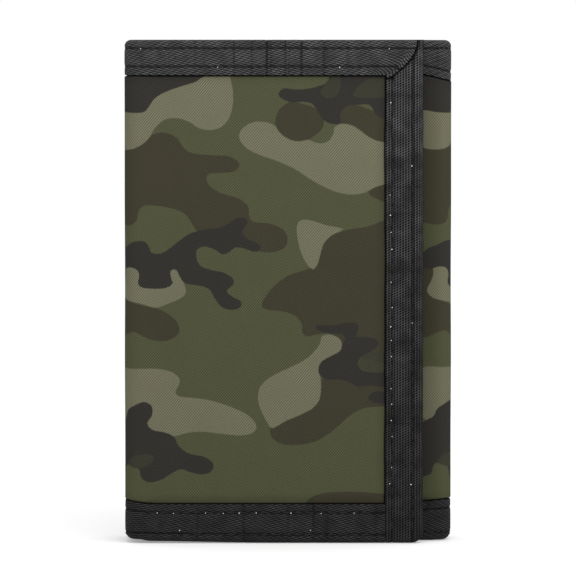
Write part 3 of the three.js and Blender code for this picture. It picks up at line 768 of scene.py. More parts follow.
@dataclass(frozen=True)
class ClearVinyl:
    """Soft clear film: glossy, slightly grey, with shallow waves."""

    darker: str = "#5d6264"
    lighter: str = "#6c7274"
    opacity: float = 0.22

    def build(self) -> Material:
        """Make the material."""
        tree = Tree("clear_soft_vinyl")
        waves = tree.noise(tree.place(), 25.0, 1.0)
        shade = tree.mix(waves, linear(self.darker), linear(self.lighter))
        tree.surface(shade, 0.1, Alpha=self.opacity, IOR=1.5, Coat_Weight=0.6, Coat_Roughness=0.08)
        tree.bump(waves, 0.4, 0.15)
        return tree.material


@dataclass(frozen=True)
class ClosurePile:
    """The hooks or loops of a closure strip: a dense black pile that catches light on its tips."""

    name: str
    colour: str
    pitch_mm: float

    def build(self) -> Material:
        """Make the material: cells as large as one tuft of the pile."""
        tree = Tree(self.name)
        _, _, vector = tree.flat()
        cells = tree.add("ShaderNodeTexVoronoi", inputs={"Vector": vector, "Scale": 1 / self.pitch_mm})
        tip = tree.ramp(cells.outputs["Distance"], 0.0, 0.7, 1.0, 0.0)
        toned = tree.toned(linear(self.colour), tree.scaled(tip, 0.9, 0.45))
        tree.surface(toned, 0.7, Sheen_Weight=0.25, Sheen_Roughness=0.5)
        tree.bump(tip, 0.4, 1.0)
        return tree.material


Look = PrintedPolyester | GrosgrainTape | WovenCloth | PlainFinish | ClearVinyl | ClosurePile


class Finish(Enum):
    """Every finish on the wallet: the record's slot that it belongs to, and the look that makes it."""

    PRINT = ("printed_cloth", PrintedPolyester())
    TAPE_LEVEL = ("binding_tape", GrosgrainTape(TapeRun.LEVEL))
    TAPE_UPRIGHT = ("binding_tape", GrosgrainTape(TapeRun.UPRIGHT))
    LINING = ("lining_cloth", WovenCloth("black_nylon_lining", "#232427", 0.5, 0.6, 0.15))
    POCKET = ("pocket_cloth", WovenCloth("black_pocket_cloth", "#2b2c2f", 0.7))
    BOARD = ("stiffener_board", PlainFinish("grey_fibre_board", "#8a8378", 0.9, grain_mm=0.8))
    FILM = ("clear_film", ClearVinyl())
    ZIP_TAPE = ("zip_tape", WovenCloth("woven_zip_tape", "#1b1c1e", 0.45))
    COIL = ("zip_coil", PlainFinish("moulded_nylon_coil", "#17181a", 0.4, grain_mm=0.4))
    METAL = ("zip_metal", PlainFinish("gunmetal_plated_zinc", "#5c5d60", 0.32, 1.0, 2.0))
    HOOKS = ("closure_strip", ClosurePile("nylon_hook_pile", "#1c1d1f", 0.9))
    LOOPS = ("closure_strip", ClosurePile("nylon_loop_pile", "#232426", 0.6))
    THREAD = ("binding_tape", PlainFinish("black_polyester_thread", "#0e0e0f", 0.9, grain_mm=0.2))
    FLECK = ("binding_tape", PlainFinish("pale_under_thread", "#d9d9d6", 0.8, grain_mm=0.2))

    def __init__(self, slot: str, look: Look) -> None:
        """Name the value's two parts."""
        self.slot = slot
        self.look = look


MATERIALS: dict[Finish, Material] = {}


def make_materials() -> None:
    """Build one material for each finish."""
    for finish in Finish:
        MATERIALS[finish] = finish.look.build()


def dress(piece: Piece, finish: Finish) -> None:
    """Give a piece its finish and log its name, finish and number of faces."""
    piece.data.materials.clear()
    piece.data.materials.append(MATERIALS[finish])
    LOG.info("piece %s: %s, %d faces", piece.name, finish.name.lower(), len(piece.data.polygons))


# ---- the print

# Each blotch is a smooth closed line through a few points on the flat cloth, in millimetres: the
# first number runs from the left fold toward the flap's free edge, the second is the height.
BROWN_BLOTCHES = (
    ((-3, 102.5), (0, 102.3), (4, 103), (7, 105.4), (10.3, 106), (13.4, 104.8), (15.3, 102.2), (17.5, 100.7),
     (22, 100.2), (27, 99.9), (29.8, 98), (28.5, 96), (25, 95.6), (22, 95.4), (21.2, 94), (22.5, 91.8),
     (25.5, 90.2), (29.5, 89), (32, 87), (32.3, 84.5), (33.5, 82.9), (37.5, 82.5), (41, 81), (42.3, 78.6),
     (41.5, 76.2), (38.5, 75.1), (34.5, 75.4), (29, 78), (22, 79.5), (18.8, 80.6), (17.4, 82.6),
     (15.8, 84.8), (13, 86.2), (8, 87.1), (5, 87.1), (3.6, 85.6), (3.2, 83.4), (1.5, 82.1), (-1.5, 82.2),
     (-6, 83.5), (-9.5, 88), (-9.5, 95), (-6.5, 101)),
    ((-7, 69.5), (-4, 71.3), (-0.5, 71), (0.5, 66), (1.5, 62.4), (4.5, 61.3), (8.5, 60.4), (11.5, 58.9),
     (13.8, 56.5), (14.1, 54.2), (12, 52.4), (8.5, 52), (5, 53.1), (2.5, 54.4), (0, 53.7), (-3, 52.6),
     (-7, 54), (-8, 62)),
    ((71, 84.5), (67, 83.2), (63, 81.7), (58.5, 81), (54.5, 79.8), (51.5, 77.4), (50.8, 74), (49.8, 71.7),
     (47, 70.5), (42.5, 69), (38.8, 66.3), (36.2, 63), (35.6, 61), (37.3, 60.1), (41, 59.7), (44.3, 58.5),
     (46, 56.3), (46.1, 54.2), (47.5, 53.2), (50.5, 53.8), (54, 53.7), (56, 50), (62, 47.5), (70, 47),
     (76, 55), (77, 70), (75, 81)),
    ((37.7, 28.6), (38.6, 30.4), (41.5, 31.8), (45.5, 33.1), (49, 35), (50.6, 38), (51, 42), (54.5, 42.3),
     (60, 41.5), (66, 41), (73, 39), (72.5, 35.3), (67, 35), (62.5, 34.6), (59, 33), (56, 30.4), (53, 27.9),
     (49.5, 25.9), (45, 25), (41, 25.2), (38.4, 26.7)),
    ((46.5, 8.5), (48, 11), (51, 12.3), (56, 12.8), (62, 12.7), (69, 12), (75, 10), (74, 6), (60, 4.5),
     (49, 6)),
    ((63.2, 90.3), (64.6, 91.6), (67.5, 92.6), (73, 91.5), (74, 88), (69, 87.8), (65.5, 88.8)),
)
KHAKI_BLOTCHES = (
    ((-3, 112), (0, 111.2), (4.5, 111.2), (6.2, 112.6), (8, 115), (11, 116.7), (15, 118.1), (19, 119.5),
     (21.5, 122.5), (26, 123.5), (27.6, 119.5), (28.2, 115), (27.6, 111), (25.8, 108), (22.8, 106.7),
     (19.5, 107.1), (16.8, 108.8), (13.5, 109.8), (10.3, 109.3), (8, 107.3), (6.3, 104.6), (4, 102.6),
     (1, 101.6), (-3, 101.9), (-7.5, 104), (-8, 109)),
    ((-0.4, 72), (-0.6, 69.2), (-1.3, 67.2), (-2.3, 65.2), (-1.9, 63.9), (-0.2, 62.7), (4.3, 61.7),
     (8, 60.7), (11.3, 61.7), (14.3, 63), (15.9, 64.6), (15.3, 67), (14, 69.5), (12, 71.5), (6, 73)),
    ((-3, 44.8), (2, 44.8), (8, 44.8), (12, 44), (14.2, 42.2), (13.9, 40.3), (13.1, 38.9), (14.2, 37.6),
     (18, 37.2), (22.5, 36.5), (27.5, 34.9), (32, 32.7), (34.2, 30), (33, 28), (29.5, 27.5), (25, 27.9),
     (20.5, 28.4), (16.5, 28.2), (13, 27.3), (9, 27.5), (3, 29), (-2.5, 31), (-6.5, 36), (-6.5, 41.5)),
    ((29.7, 105), (30.8, 107.3), (33.8, 108.8), (37.5, 108.5), (40, 107), (43, 104.5), (47.5, 104.2),
     (50, 103.3), (52.6, 103.6), (54, 105.3), (54.8, 107.8), (58, 108.2), (61, 106.6), (63.8, 104.6),
     (67.5, 103.6), (74, 103), (77, 99), (74.5, 94.5), (68.5, 92.9), (65, 91.9), (62.3, 90.5), (59, 90),
     (55.2, 90.6), (51.5, 92.1), (47.5, 94.4), (44, 96.7), (39.5, 98.7), (35, 100.3), (31.4, 102.2)),
    ((44.7, 81.5), (45.6, 83.3), (48.3, 83.3), (52.2, 82.1), (57, 81), (54.3, 79.8), (52, 77.8), (50.9, 75),
     (50, 71.8), (48.9, 70.6), (47.4, 71.9), (45.8, 75), (44.9, 78.5)),
    ((51.2, 53.2), (53.2, 53.7), (55.4, 52.9), (56.4, 51.3), (55.9, 49.4), (53.4, 48), (51, 46.4),
     (50.4, 44.5), (51, 41), (50.6, 37), (49, 34.7), (45.8, 32.9), (42, 31.3), (39.4, 29.8), (38, 29.4),
     (36.6, 31.6), (35, 35), (34.6, 38.2), (35.8, 41), (39, 43.3), (43.3, 45.3), (46.7, 47.1), (49.4, 49.4),
     (50.7, 51.4)),
)
UMBER_BLOTCHES = (
    ((39.1, 109), (40.2, 112), (42.8, 113.9), (46, 113.5), (49, 112.6), (51.5, 110.5), (51.5, 107.5),
     (49.8, 105.6), (47.4, 104.2), (44.4, 103.8), (41.6, 104.9), (39.7, 106.8)),
    ((55, 110.3), (57, 112.6), (60, 113.2), (62.4, 112.4), (65, 111.4), (68, 110.2), (74, 109), (74, 104.5),
     (68, 103.6), (65, 104.1), (62.4, 105.7), (60, 107.6), (57.5, 108.3), (55.4, 108.6)),
)
BLACK_BLOTCHES = (
    ((-8, 126), (-9.5, 118), (-6, 113), (-2, 111.6), (4.5, 111.2), (6.2, 112.6), (8, 115), (11, 116.7),
     (15, 118.1), (19, 119.5), (22, 123), (14, 128)),
    ((-2.4, 75.6), (0, 76.6), (2.5, 77.8), (5.2, 77.8), (6.3, 76.4), (7, 74.9), (9.3, 74.7), (11.5, 75.9),
     (14, 77.9), (17, 79.9), (20.5, 80.9), (24.5, 81.4), (27, 82.5), (29, 83.9), (31.4, 83.8), (31.8, 82.3),
     (30.5, 80.5), (31.5, 78.7), (34, 77.6), (35.4, 76.2), (34, 75.1), (31, 76), (28.8, 76.3), (27, 75),
     (25.3, 74.5), (23.6, 75.6), (21, 76.5), (18.9, 75.9), (18.6, 74), (19.6, 71.6), (22.3, 70.5),
     (25.8, 69.7), (28.3, 68), (27.9, 66.3), (26.4, 65.2), (27.6, 63.7), (30, 62.4), (30.2, 60.8),
     (27.8, 60.1), (25.2, 60.8), (23.4, 63), (22, 65.4), (19.3, 66.4), (16, 66.9), (14.5, 68.3),
     (13.4, 70.5), (11.9, 70.2), (12, 68.6), (12.4, 66.8), (10.3, 65.7), (7, 65.6), (4.2, 66), (3.4, 67.3),
     (3.8, 69), (3, 70.6), (0.8, 71.1), (-2, 70.4), (-5.5, 72)),
    ((-2.4, 31), (-0.6, 31.9), (0.4, 34), (2.5, 35.3), (5, 36.2), (7, 35), (7, 32.6), (5.8, 30.6),
     (7.3, 28.9), (10.5, 28.2), (12.8, 27), (14, 24.7), (16.6, 22.8), (20.8, 21.8), (23, 20), (22.3, 18),
     (19.8, 17.3), (16.7, 18), (14.5, 18.7), (12, 17.5), (9.3, 15.9), (6.2, 15.3), (4.2, 16.5), (3.7, 18.6),
     (1.5, 19.5), (0.2, 19.9), (-0.6, 19.2), (-0.9, 17.4), (-2, 16.5), (-5, 16.8), (-7, 22.5), (-6, 27.5)),
    ((39.9, 116), (41.2, 117.5), (43.8, 117.2), (47, 117.3), (50.3, 118), (52.6, 119.2), (54, 122),
     (60, 127), (70, 127), (74, 118), (71.5, 111), (67.8, 109.5), (65.2, 110.7), (63.6, 113.1),
     (60.3, 113.2), (57.4, 112.7), (55.9, 110.6), (56.2, 108.4), (54.3, 108.2), (52, 109), (50.2, 111.2),
     (48.7, 113.4), (46, 114), (43.3, 113.8), (41, 114.7)),
    ((50.3, 45), (51.3, 46.8), (53.8, 48.2), (56, 49.5), (56.7, 51.5), (58, 53.1), (61.5, 53.1),
     (64.8, 52.7), (66, 51.2), (64, 49.3), (61.5, 48), (60.6, 46), (62, 44.3), (65.5, 43.9), (70, 44.3),
     (71.5, 41.5), (68.5, 40), (64, 40.4), (60.5, 40.1), (58.3, 41.3), (55.5, 42), (52.5, 42), (50.7, 43.2)),
    ((49.3, 55.2), (50.6, 56.2), (54, 56), (57.5, 56.8), (60.2, 56.6), (60.8, 55.2), (59.6, 53),
     (57.6, 52.2), (56.4, 53.8), (52.5, 54.1)),
    ((63.2, 37.2), (64.6, 38.8), (67.8, 38.8), (71, 37.5), (68.5, 35.9), (65, 35.9)),
)
HAZE_BLOTCHES = (
    ((0.6, 20.4), (2.2, 22), (5, 22.6), (7.5, 22.1), (7.3, 20.7), (5.5, 19.4), (3, 18.9), (1, 19.5)),
    ((50.8, 116.3), (51.8, 118.3), (53.6, 120.2), (55.7, 121), (56, 117.6), (54.7, 115.4), (52.3, 115)),
    ((59.3, 115.4), (61, 118.2), (63.7, 119.9), (68, 119.6), (69, 116), (66, 115)),
    ((60.7, 45.6), (61.5, 47.8), (64, 49.2), (68, 50), (70, 46), (67, 44), (63.3, 44)),
)
# The ink, the number of the blotch, its turn in degrees, and where its middle comes to lie.
ECHOES = (
    ("brown", 2, 165, 92, 88),
    ("brown", 1, 25, 82, 46),
    ("brown", 3, 195, 94, 26),
    ("brown", 4, 0, 84, 121),
    ("khaki", 2, 170, 91, 108),
    ("khaki", 5, 200, 93, 61),
    ("khaki", 5, 70, 84, 17),
    ("khaki", 1, 20, 103, 10),
    ("black", 1, 205, 91, 72),
    ("black", 2, 100, 80, 101),
    ("black", 4, 215, 98, 41),
    ("black", 3, 190, 94, 122),
)
PRINT_LAYERS = {
    "brown": BROWN_BLOTCHES,
    "khaki": KHAKI_BLOTCHES,
    "umber": UMBER_BLOTCHES,
    "black": BLACK_BLOTCHES,
    "haze": HAZE_BLOTCHES,
}


@dataclass(frozen=True)
class CamouflagePrint:
    """The printed pattern: how far each place on the flat cloth lies inside each ink's blotches.

    A place's coordinates are multiplied by the scale and lowered by the drop before it is compared
    with the blotches, which come again once in each repeat.
    """

    repeat_mm: float = 117.57
    scale: tuple[float, float] = (1.0067, 1.0045)
    drop_mm: float = 0.55
    far_mm: float = 3.0
    steps: int = 6

    def outline(self, points: Sequence[tuple[float, float]]) -> Array:
        """A smooth closed line through the points.

        Between two points the line is the Catmull-Rom cubic of them and their two neighbours.
        """
        p1 = np.array(points, float)
        p0, p2, p3 = np.roll(p1, 1, 0), np.roll(p1, -1, 0), np.roll(p1, -2, 0)
        t = (np.arange(self.steps) / self.steps)[None, :, None]
        p0, p1, p2, p3 = (p[:, None, :] for p in (p0, p1, p2, p3))
        curve = 0.5 * (2 * p1 + (p2 - p0) * t + (2 * p0 - 5 * p1 + 4 * p2 - p3) * t ** 2
                       + (3 * p1 - p0 - 3 * p2 + p3) * t ** 3)
        return curve.reshape(-1, 2)

    def inside(self, line: Array, places: Array) -> Array:
        """Signed distance to a closed line, positive inside.

        The distance is the least over the line's edges. A place is inside where a level ray from it
        crosses the line an odd number of times.
        """
        start = line[None]
        end = np.roll(line, -1, 0)[None]
        p = places[:, None]
        edge = end - start
        t = np.clip(((p - start) * edge).sum(-1) / (edge ** 2).sum(-1), 0, 1)
        distance = np.sqrt((((p - start) - t[..., None] * edge) ** 2).sum(-1)).min(1)
        spans = (start[..., 1] > p[..., 1]) != (end[..., 1] > p[..., 1])
        rise = np.where(edge[..., 1] == 0, 1.0, edge[..., 1])
        crossing = start[..., 0] + (p[..., 1] - start[..., 1]) / rise * edge[..., 0]
        odd = (spans & (p[..., 0] < crossing)).sum(1) % 2 == 1
        return np.where(odd, distance, -distance)

    def echoes(self, name: str) -> list[Array]:
        """The blotches that come again further along the cloth, each turned about its own middle."""
        result = []
        for ink, number, turn, along, up in ECHOES:
            if ink == name:
                points = np.array(PRINT_LAYERS[ink][number], float)
                centre = (points.min(0) + points.max(0)) / 2
                c, s = np.cos(np.radians(turn)), np.sin(np.radians(turn))
                result.append((points - centre) @ np.array([[c, s], [-s, c]]) + [along, up])
        return result

    def layer(self, blotches: Sequence[Sequence[tuple[float, float]]], places: Array) -> Array:
        """How far each place lies inside the nearest of one ink's blotches, in millimetres."""
        result = np.full(len(places), -self.far_mm)
        wrapped = places.copy()
        wrapped[:, 0] = np.mod(places[:, 0], self.repeat_mm)
        for points in blotches:
            line = self.outline(points)
            low, high = line.min(0) - self.far_mm, line.max(0) + self.far_mm
            for shift in (0.0, -self.repeat_mm, self.repeat_mm):
                moved = wrapped + [shift, 0]
                near = ((moved > low) & (moved < high)).all(1)
                if near.any():
                    result[near] = np.maximum(result[near], self.inside(line, moved[near]))
        return np.minimum(result, self.far_mm)

    def print_on(self, piece: Piece, places: Array) -> None:
        """Store each ink's distance on a piece.

        Args:
            piece: the cloth piece.
            places: where each of its points lies on the flat cloth, in millimetres.
        """
        drawn = places[:, :2] * self.scale - [0, self.drop_mm]
        for name, blotches in PRINT_LAYERS.items():
            add_number(piece, name, self.layer([*blotches, *self.echoes(name)], drawn))


# ---- plies of the band

CLOTH_STEP = 0.8 * MM
LINING_STEP = 2 * MM
LOW_BOW, LOW_BOW_WIDTH = 0.45 * MM, 34 * MM
FOLD_BOW, FOLD_BOW_WIDTH = 0.35 * MM, 3 * MM
PLY_START, PLY_LIFT = 0.8 * MM, 1.0 * MM


def bottom_bow(along: Array) -> Array:
    """How far the bottom edge rises towards the flap's fold, and a little more round the fold."""
    rise = LOW_BOW * foldness(along, LOW_BOW_WIDTH) + FOLD_BOW * foldness(along, FOLD_BOW_WIDTH)
    return np.where(along > middle(BACK), rise, 0.0)


def shell_floor(along: Array) -> Array:
    """How high the plies inside the bottom tape start: higher on the folds, where its corner is round."""
    return PLY_START + PLY_LIFT * foldness(along, 1.5 * MM) + bottom_bow(along)


@dataclass
class Shell:
    """The printed cloth outside and the bill lining behind it, in one piece for each fold."""

    cloth_near: float = 0.55 * MM
    cloth_thickness: float = 0.45 * MM
    lining_near: float = 1.70 * MM
    lining_thickness: float = 0.20 * MM
    inset: float = 0.55 * MM
    rise: float = 0.25 * MM
    fold_rise: float = 0.40 * MM
    sag: float = 0.10 * MM
    free_radius: float = 2.45 * MM
    fine_rows_mm: tuple[tuple[float, float], ...] = ((9.2, 11.4), (119.2, 121.6))
    pattern: CamouflagePrint = field(default_factory=CamouflagePrint)

    def build(self) -> None:
        """Make every piece of the shell."""
        for span in SPANS:
            self.cloth(span)
            self.lining(span)

    def free_corner(self, span: Span, along: Array, height: Array) -> Array:
        """The height of each point, lifted clear of the rounded lower corner at a free edge."""
        radius = self.free_radius
        start, end = span.ends(self.inset)
        if span is FLAP_SPAN:
            reach = along - (end - radius)
        elif span is TUCK_SPAN:
            reach = start + radius - along
        else:
            return height
        reach = np.clip(reach, 0, radius)
        lift = radius - np.sqrt(radius ** 2 - reach ** 2)
        share = (PLAN.top - height) / PLAN.top
        return height + lift * share

    def clear_of_tape(self, along: Array, height: Array) -> Array:
        """Distance from each place to the nearest edge of the binding that covers the cloth."""
        bindings = BottomBindings()
        top = PLAN.top - TopBindings().reach(along) - height
        bottom = height - bindings.reach(along)
        flap = BAND.straights[FLAP][1] - bindings.edge_width - edge_wobble(height) - along
        tuck = along - BAND.straights[TUCK][0] - bindings.edge_width - edge_wobble(height)
        return np.minimum(np.minimum(top, bottom), np.minimum(flap, tuck))

    def depth(self, along: Array, height: Array, clear: Array) -> Array:
        """The cloth's depth: held down at the tapes, fuller between them and fullest on the folds."""
        folded = foldness(along, 7 * MM)
        full = smooth_step(clear / ((2.6 - 2.1 * folded) * MM))
        waves = (ripple(along, (31, 47), 3) + ripple(height, (38, 61), 4)) * self.sag / 2
        return self.cloth_near - full * (self.rise + self.fold_rise * folded + waves)

    def cloth(self, span: Span) -> None:
        """The printed cloth of one span."""
        along, height = self.grid(span, CLOTH_STEP)
        clear = self.clear_of_tape(along, height)
        near = self.depth(along, height, clear)
        far = self.cloth_near + self.cloth_thickness
        piece = band_sheet(f"printed_cloth_{span.name}", along, near, far, height)
        places = flat_places(along, height).reshape(-1, 3)
        self.pattern.print_on(piece, np.concatenate([places] * 2))
        # The distance to the tape, which the print's material turns into painted shade beside the tape.
        on_both_faces(piece, "seam", clear / MM)
        span.bend(piece)
        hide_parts(*nodes_of(span, "outer_cloth"))
        dress(piece, Finish.PRINT)

    def lining(self, span: Span) -> None:
        """The bill compartment's outer lining of one span."""
        along, height = self.grid(span, LINING_STEP)
        far = self.lining_near + self.lining_thickness
        piece = band_sheet(f"bill_lining_{span.name}", along, self.lining_near, far, height)
        span.bend(piece)
        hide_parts(*nodes_of(span, "bill_lining"))
        dress(piece, Finish.LINING)

    def grid(self, span: Span, step: float) -> tuple[Array, Array]:
        """Distances along the band and heights of a grid over the span.

        The cloth's grid has finer rows where the edges of the level tapes cross it.
        """
        start, end = span.ends(self.inset)
        levels = spaced(0, 1, step / PLAN.top)
        if step == CLOTH_STEP:
            ramps = [spaced(low * MM, high * MM, 0.2 * MM) for low, high in self.fine_rows_mm]
            levels = np.union1d(levels, np.concatenate(ramps) / PLAN.top)
        along, share = np.meshgrid(spaced(start, end, step), levels, indexing="ij")
        height = between(shell_floor(along), PLAN.top - self.inset, share)
        return along, self.free_corner(span, along, height)


@dataclass
class InnerPanels:
    """The lining that faces inward, dipping into each fold, with the tape along its top edge."""

    near: float = 3.20 * MM
    thickness: float = 0.20 * MM
    fold_near: float = 2.62 * MM
    dip_width: float = 2.2 * MM
    inset: float = 0.55 * MM
    edge_inset: float = 3.2 * MM
    tape_height: float = 8 * MM
    tape_edge_inset: float = 9.95 * MM
    tape_thickness: float = 1.3 * MM
    tape_rounding: float = 0.55 * MM
    tape_proud: float = 0.55 * MM

    def build(self) -> None:
        """Make every piece of the inner panels."""
        for span in SPANS:
            self.lining(span)
            self.top_tape(span)

    def depth(self, along: Array) -> Array:
        """The lining's depth: its own on the flats, and less where it dips into a fold."""
        nearest = np.full(along.shape, np.inf)
        quarter = np.pi / 2 * PLAN.fold_radius
        for _, end in BAND.straights[:-1]:
            centre = end + quarter / 2
            nearest = np.minimum(nearest, np.abs(along - centre))
        share = smooth_step((nearest - quarter / 2) / self.dip_width)
        return self.fold_near + (self.near - self.fold_near) * share

    def lining(self, span: Span) -> None:
        """The inner lining of one span."""
        start, end = span.ends(self.edge_inset)
        along, share = np.meshgrid(spaced(start, end, 0.9 * MM), spaced(0, 1, 0.025), indexing="ij")
        height = between(shell_floor(along), PLAN.inner_top - self.inset, share)
        near = self.depth(along)
        piece = band_sheet(f"inner_lining_{span.name}", along, near, near + self.thickness, height)
        span.bend(piece)
        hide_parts(*nodes_of(span, "inner_lining"))
        dress(piece, Finish.LINING)

    def top_tape(self, span: Span) -> None:
        """The tape folded over the inner panel's top edge."""
        start, end = span.ends(self.tape_edge_inset if span is TUCK_SPAN else self.inset)
        along = spaced(start, end, 1.0 * MM)
        ones = np.ones_like(along)
        near = self.depth(along) - self.tape_proud
        rounding = self.tape_rounding * ones
        tape = LevelTape(f"inner_top_tape_{span.name}", along, PLAN.inner_top, True, self.tape_height * ones,
                         near, near + self.tape_thickness, rounding, rounding, 0 * ones)
        piece = tape.build()
        span.bend(piece)
        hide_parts(*nodes_of(span, "inner_top_binding"))
        dress(piece, Finish.TAPE_LEVEL)


# ---- binding tape

# The section of a folded tape: shares of a leg's length and of its web, and angles of a rounding.
LEG_SHARES = np.linspace(0, 1, 32)[None]
WEB_SHARES = np.array([[0.25, 0.5, 0.75]])
ROUNDING = np.linspace(0, np.pi / 2, 7)[None]
LEVEL_WANDER_MM = 0.10
UPRIGHT_WANDER_MM = 0.2
CROWN = 0.10 * MM
GROOVE, GROOVE_WIDTH = 0.17 * MM, 0.36 * MM


def row_wander(run: Array, wander_mm: float) -> Array:
    """How far a stitch row strays to one side along its run."""
    return ripple(run, (9, 13, 23), 11) * wander_mm * MM


def near_row(into_leg: Array, rows: Sequence[Array | float], along: Array, wander_mm: float) -> Array:
    """Distance to the nearest stitch row, each row wandering a little along the tape."""
    wander = row_wander(along, wander_mm)
    return np.min([np.abs(into_leg - row - wander) for row in rows], axis=0)


def proud_of(from_row: Array, into_leg: Array, leg: Array | float) -> Array:
    """How far a tape's face stands proud: a bell-shaped groove at each row and a low crown between."""
    crown = CROWN * np.sin(np.clip(into_leg / leg, 0, 1) * np.pi) ** 0.5
    return crown - GROOVE * np.exp(-(from_row / GROOVE_WIDTH) ** 2)


def outward_of(first: Array, second: Array) -> tuple[Array, Array]:
    """The outward direction at each point of a section: its slope, turned a quarter and of length 1."""
    slope_1, slope_2 = np.gradient(first, axis=1), np.gradient(second, axis=1)
    norm = np.hypot(slope_1, slope_2) + 1e-12
    return -slope_2 / norm, slope_1 / norm


@dataclass
class LevelTape:
    """A tape folded over a level edge, following the band.

    Each station along the tape has its own leg length, depths and corner radii. The section starts
    at the near leg's free edge, runs to the fold, round it, and along the far leg.
    """

    name: str
    along: Array
    edge: float
    upward: bool
    leg: Array
    near: Array
    far: Array
    round_near: Array
    round_far: Array
    lift: Array
    row_inset: float = 2.2 * MM
    thickness: float = 0.45 * MM
    pinch: float = 0.07 * MM
    crease_mm: float = 0.16
    # A level tape's distance to a gap, far enough that no painted gap shadow shows on it.
    clear_mm: float = 9.0
    cut_fade: float = 14 * MM
    lift_fade: float = 8 * MM
    cut: Callable[[Array], Array] | None = None
    cut_side: int = 1
    creases: tuple[tuple[float, float], ...] = ()

    def section(self) -> tuple[Array, Array, Array]:
        """Depth, height from the edge and distance across, for each station and section point."""
        share, turn = LEG_SHARES, ROUNDING
        leg, near, far, r1, r2 = (a[:, None] for a in (self.leg, self.near, self.far, self.round_near,
                                                       self.round_far))
        web = near + r1 + (far - near - r1 - r2) * WEB_SHARES
        height = np.concatenate([-leg + (leg - r1) * share[:, :-1], r1 * np.sin(turn) - r1, 0 * web,
                                 r2 * np.cos(turn) - r2, -r2 - (leg - r2) * share[:, 1:]], 1)
        depth = np.concatenate([near + 0 * share[:, :-1], near + r1 * (1 - np.cos(turn)), web,
                                far - r2 * (1 - np.sin(turn)), far + 0 * share[:, 1:]], 1)
        step = np.hypot(np.diff(depth, axis=1), np.diff(height, axis=1))
        across = np.concatenate([0 * leg, np.cumsum(step, axis=1)], 1)
        return depth, height, across

    def build(self) -> Piece:
        """Make the tape.

        Returns:
            The piece.
        """
        depth, height, across = self.section()
        along = np.broadcast_to(self.along[:, None], depth.shape)
        into = np.minimum(across, across[:, -1:] - across)
        leg = self.leg[:, None]
        from_row = near_row(into, (self.row_inset, leg - self.row_inset), along, LEVEL_WANDER_MM)
        crease = self.crease(along)
        proud = proud_of(from_row, into, leg) - self.pinch * crease
        out_d, out_h = outward_of(depth, height)
        if not self.upward:
            proud = np.where(out_h > 0.4, np.minimum(proud, 0), proud)
        shifted = self.trimmed(along, height)
        outer = self.put(shifted, depth + out_d * proud, height + out_h * proud)
        inner = self.put(shifted, depth - out_d * self.thickness, height - out_h * self.thickness)
        piece = closed_sheet(self.name, outer, inner, flat_places(along, across))
        clear = np.full_like(across, self.clear_mm)
        # Stored for the material: the stitch-row distance, the crease strength, which paints shade in the
        # creases, and the distance to a gap.
        for name, values in (("row", from_row / MM), ("crease", crease), ("seam", clear)):
            on_both_faces(piece, name, values)
        return piece

    def crease(self, along: Array) -> Array:
        """How strongly the tape is pinched at each place: a bell curve at each crease."""
        result = np.zeros_like(along)
        for place, strength in self.creases:
            width = (self.crease_mm + self.crease_mm * strength) * MM
            result = np.maximum(result, strength * np.exp(-((along - place * MM) / width) ** 2))
        return result

    def trimmed(self, along: Array, height: Array) -> Array:
        """Distances along the band, drawn back so that the tape ends on its slanting cut."""
        if self.cut is None:
            return along
        end = self.along[-1] if self.cut_side > 0 else self.along[0]
        share = smooth_step(1 - np.abs(along - end) / self.cut_fade)
        return along - self.cut_side * self.cut(height) * share

    def put(self, along: Array, depth: Array, height: Array) -> Array:
        """Points of the band, measured up from a top edge or down from a bottom one."""
        sign = 1.0 if self.upward else -1.0
        lifted = self.lift[:, None] * np.clip(1 + height / self.lift_fade, 0, 1)
        return BAND.place(along, depth, self.edge + sign * height + lifted)


def foldness(along: Array, width: float) -> Array:
    """One on the spines and their folds, falling to nought over a width into each leaf."""
    result = np.zeros_like(along)
    for i in (LEFT_SPINE, RIGHT_SPINE):
        low, high = BAND.straights[i]
        quarter = np.pi / 2 * PLAN.fold_radius
        beyond = np.maximum(low - quarter - along, along - high - quarter)
        result = np.maximum(result, 1 - smooth_step(beyond / width))
    return result


def in_arcs(along: Array, width: float) -> Array:
    """One in each fold's arc, falling to nought over a width on either side."""
    quarter = np.pi / 2 * PLAN.fold_radius
    result = np.zeros_like(along)
    for _, high in BAND.straights[:-1]:
        beyond = np.abs(along - high - quarter / 2) - quarter / 2
        result = np.maximum(result, 1 - smooth_step(beyond / width))
    return result


@dataclass(frozen=True)
class Swell:
    """A length that grows from nought a little before a place and falls to nought a little after it."""

    height: float
    before: float
    rise: float
    after: float
    fall: float

    def near(self, along: Array, place: float) -> Array:
        """How much of the length there is at each distance along the band."""
        grown = smooth_step((along - place + self.before) / self.rise)
        return self.height * grown * smooth_step((place + self.after - along) / self.fall)


@dataclass(frozen=True)
class Mitre:
    """The curved cut where the top tape's end lies over the upright tape."""

    foot: float = 8.0 * MM
    head: float = 1.7 * MM
    leg: float = 9.1 * MM
    bend: float = 2.1

    def gap(self, below_top: Array) -> Array:
        """Distance from the leaf's free edge: head + (foot - head) * (share of the leg) ^ bend."""
        share = np.clip(below_top / self.leg, 0, 1.1)
        return self.head + (self.foot - self.head) * share ** self.bend


MITRE = Mitre()
FLAP_CREASES = ((4.5, 0.25), (11.6, 0.3), (18.2, 0.45), (20.6, 0.3), (28.2, 0.65), (32.8, 0.5), (36.7, 1.0),
                (37.7, 0.6), (41.4, 0.7), (42.4, 0.4), (45.6, 0.9), (51.3, 0.6), (57.5, 0.3), (63.2, 0.35))


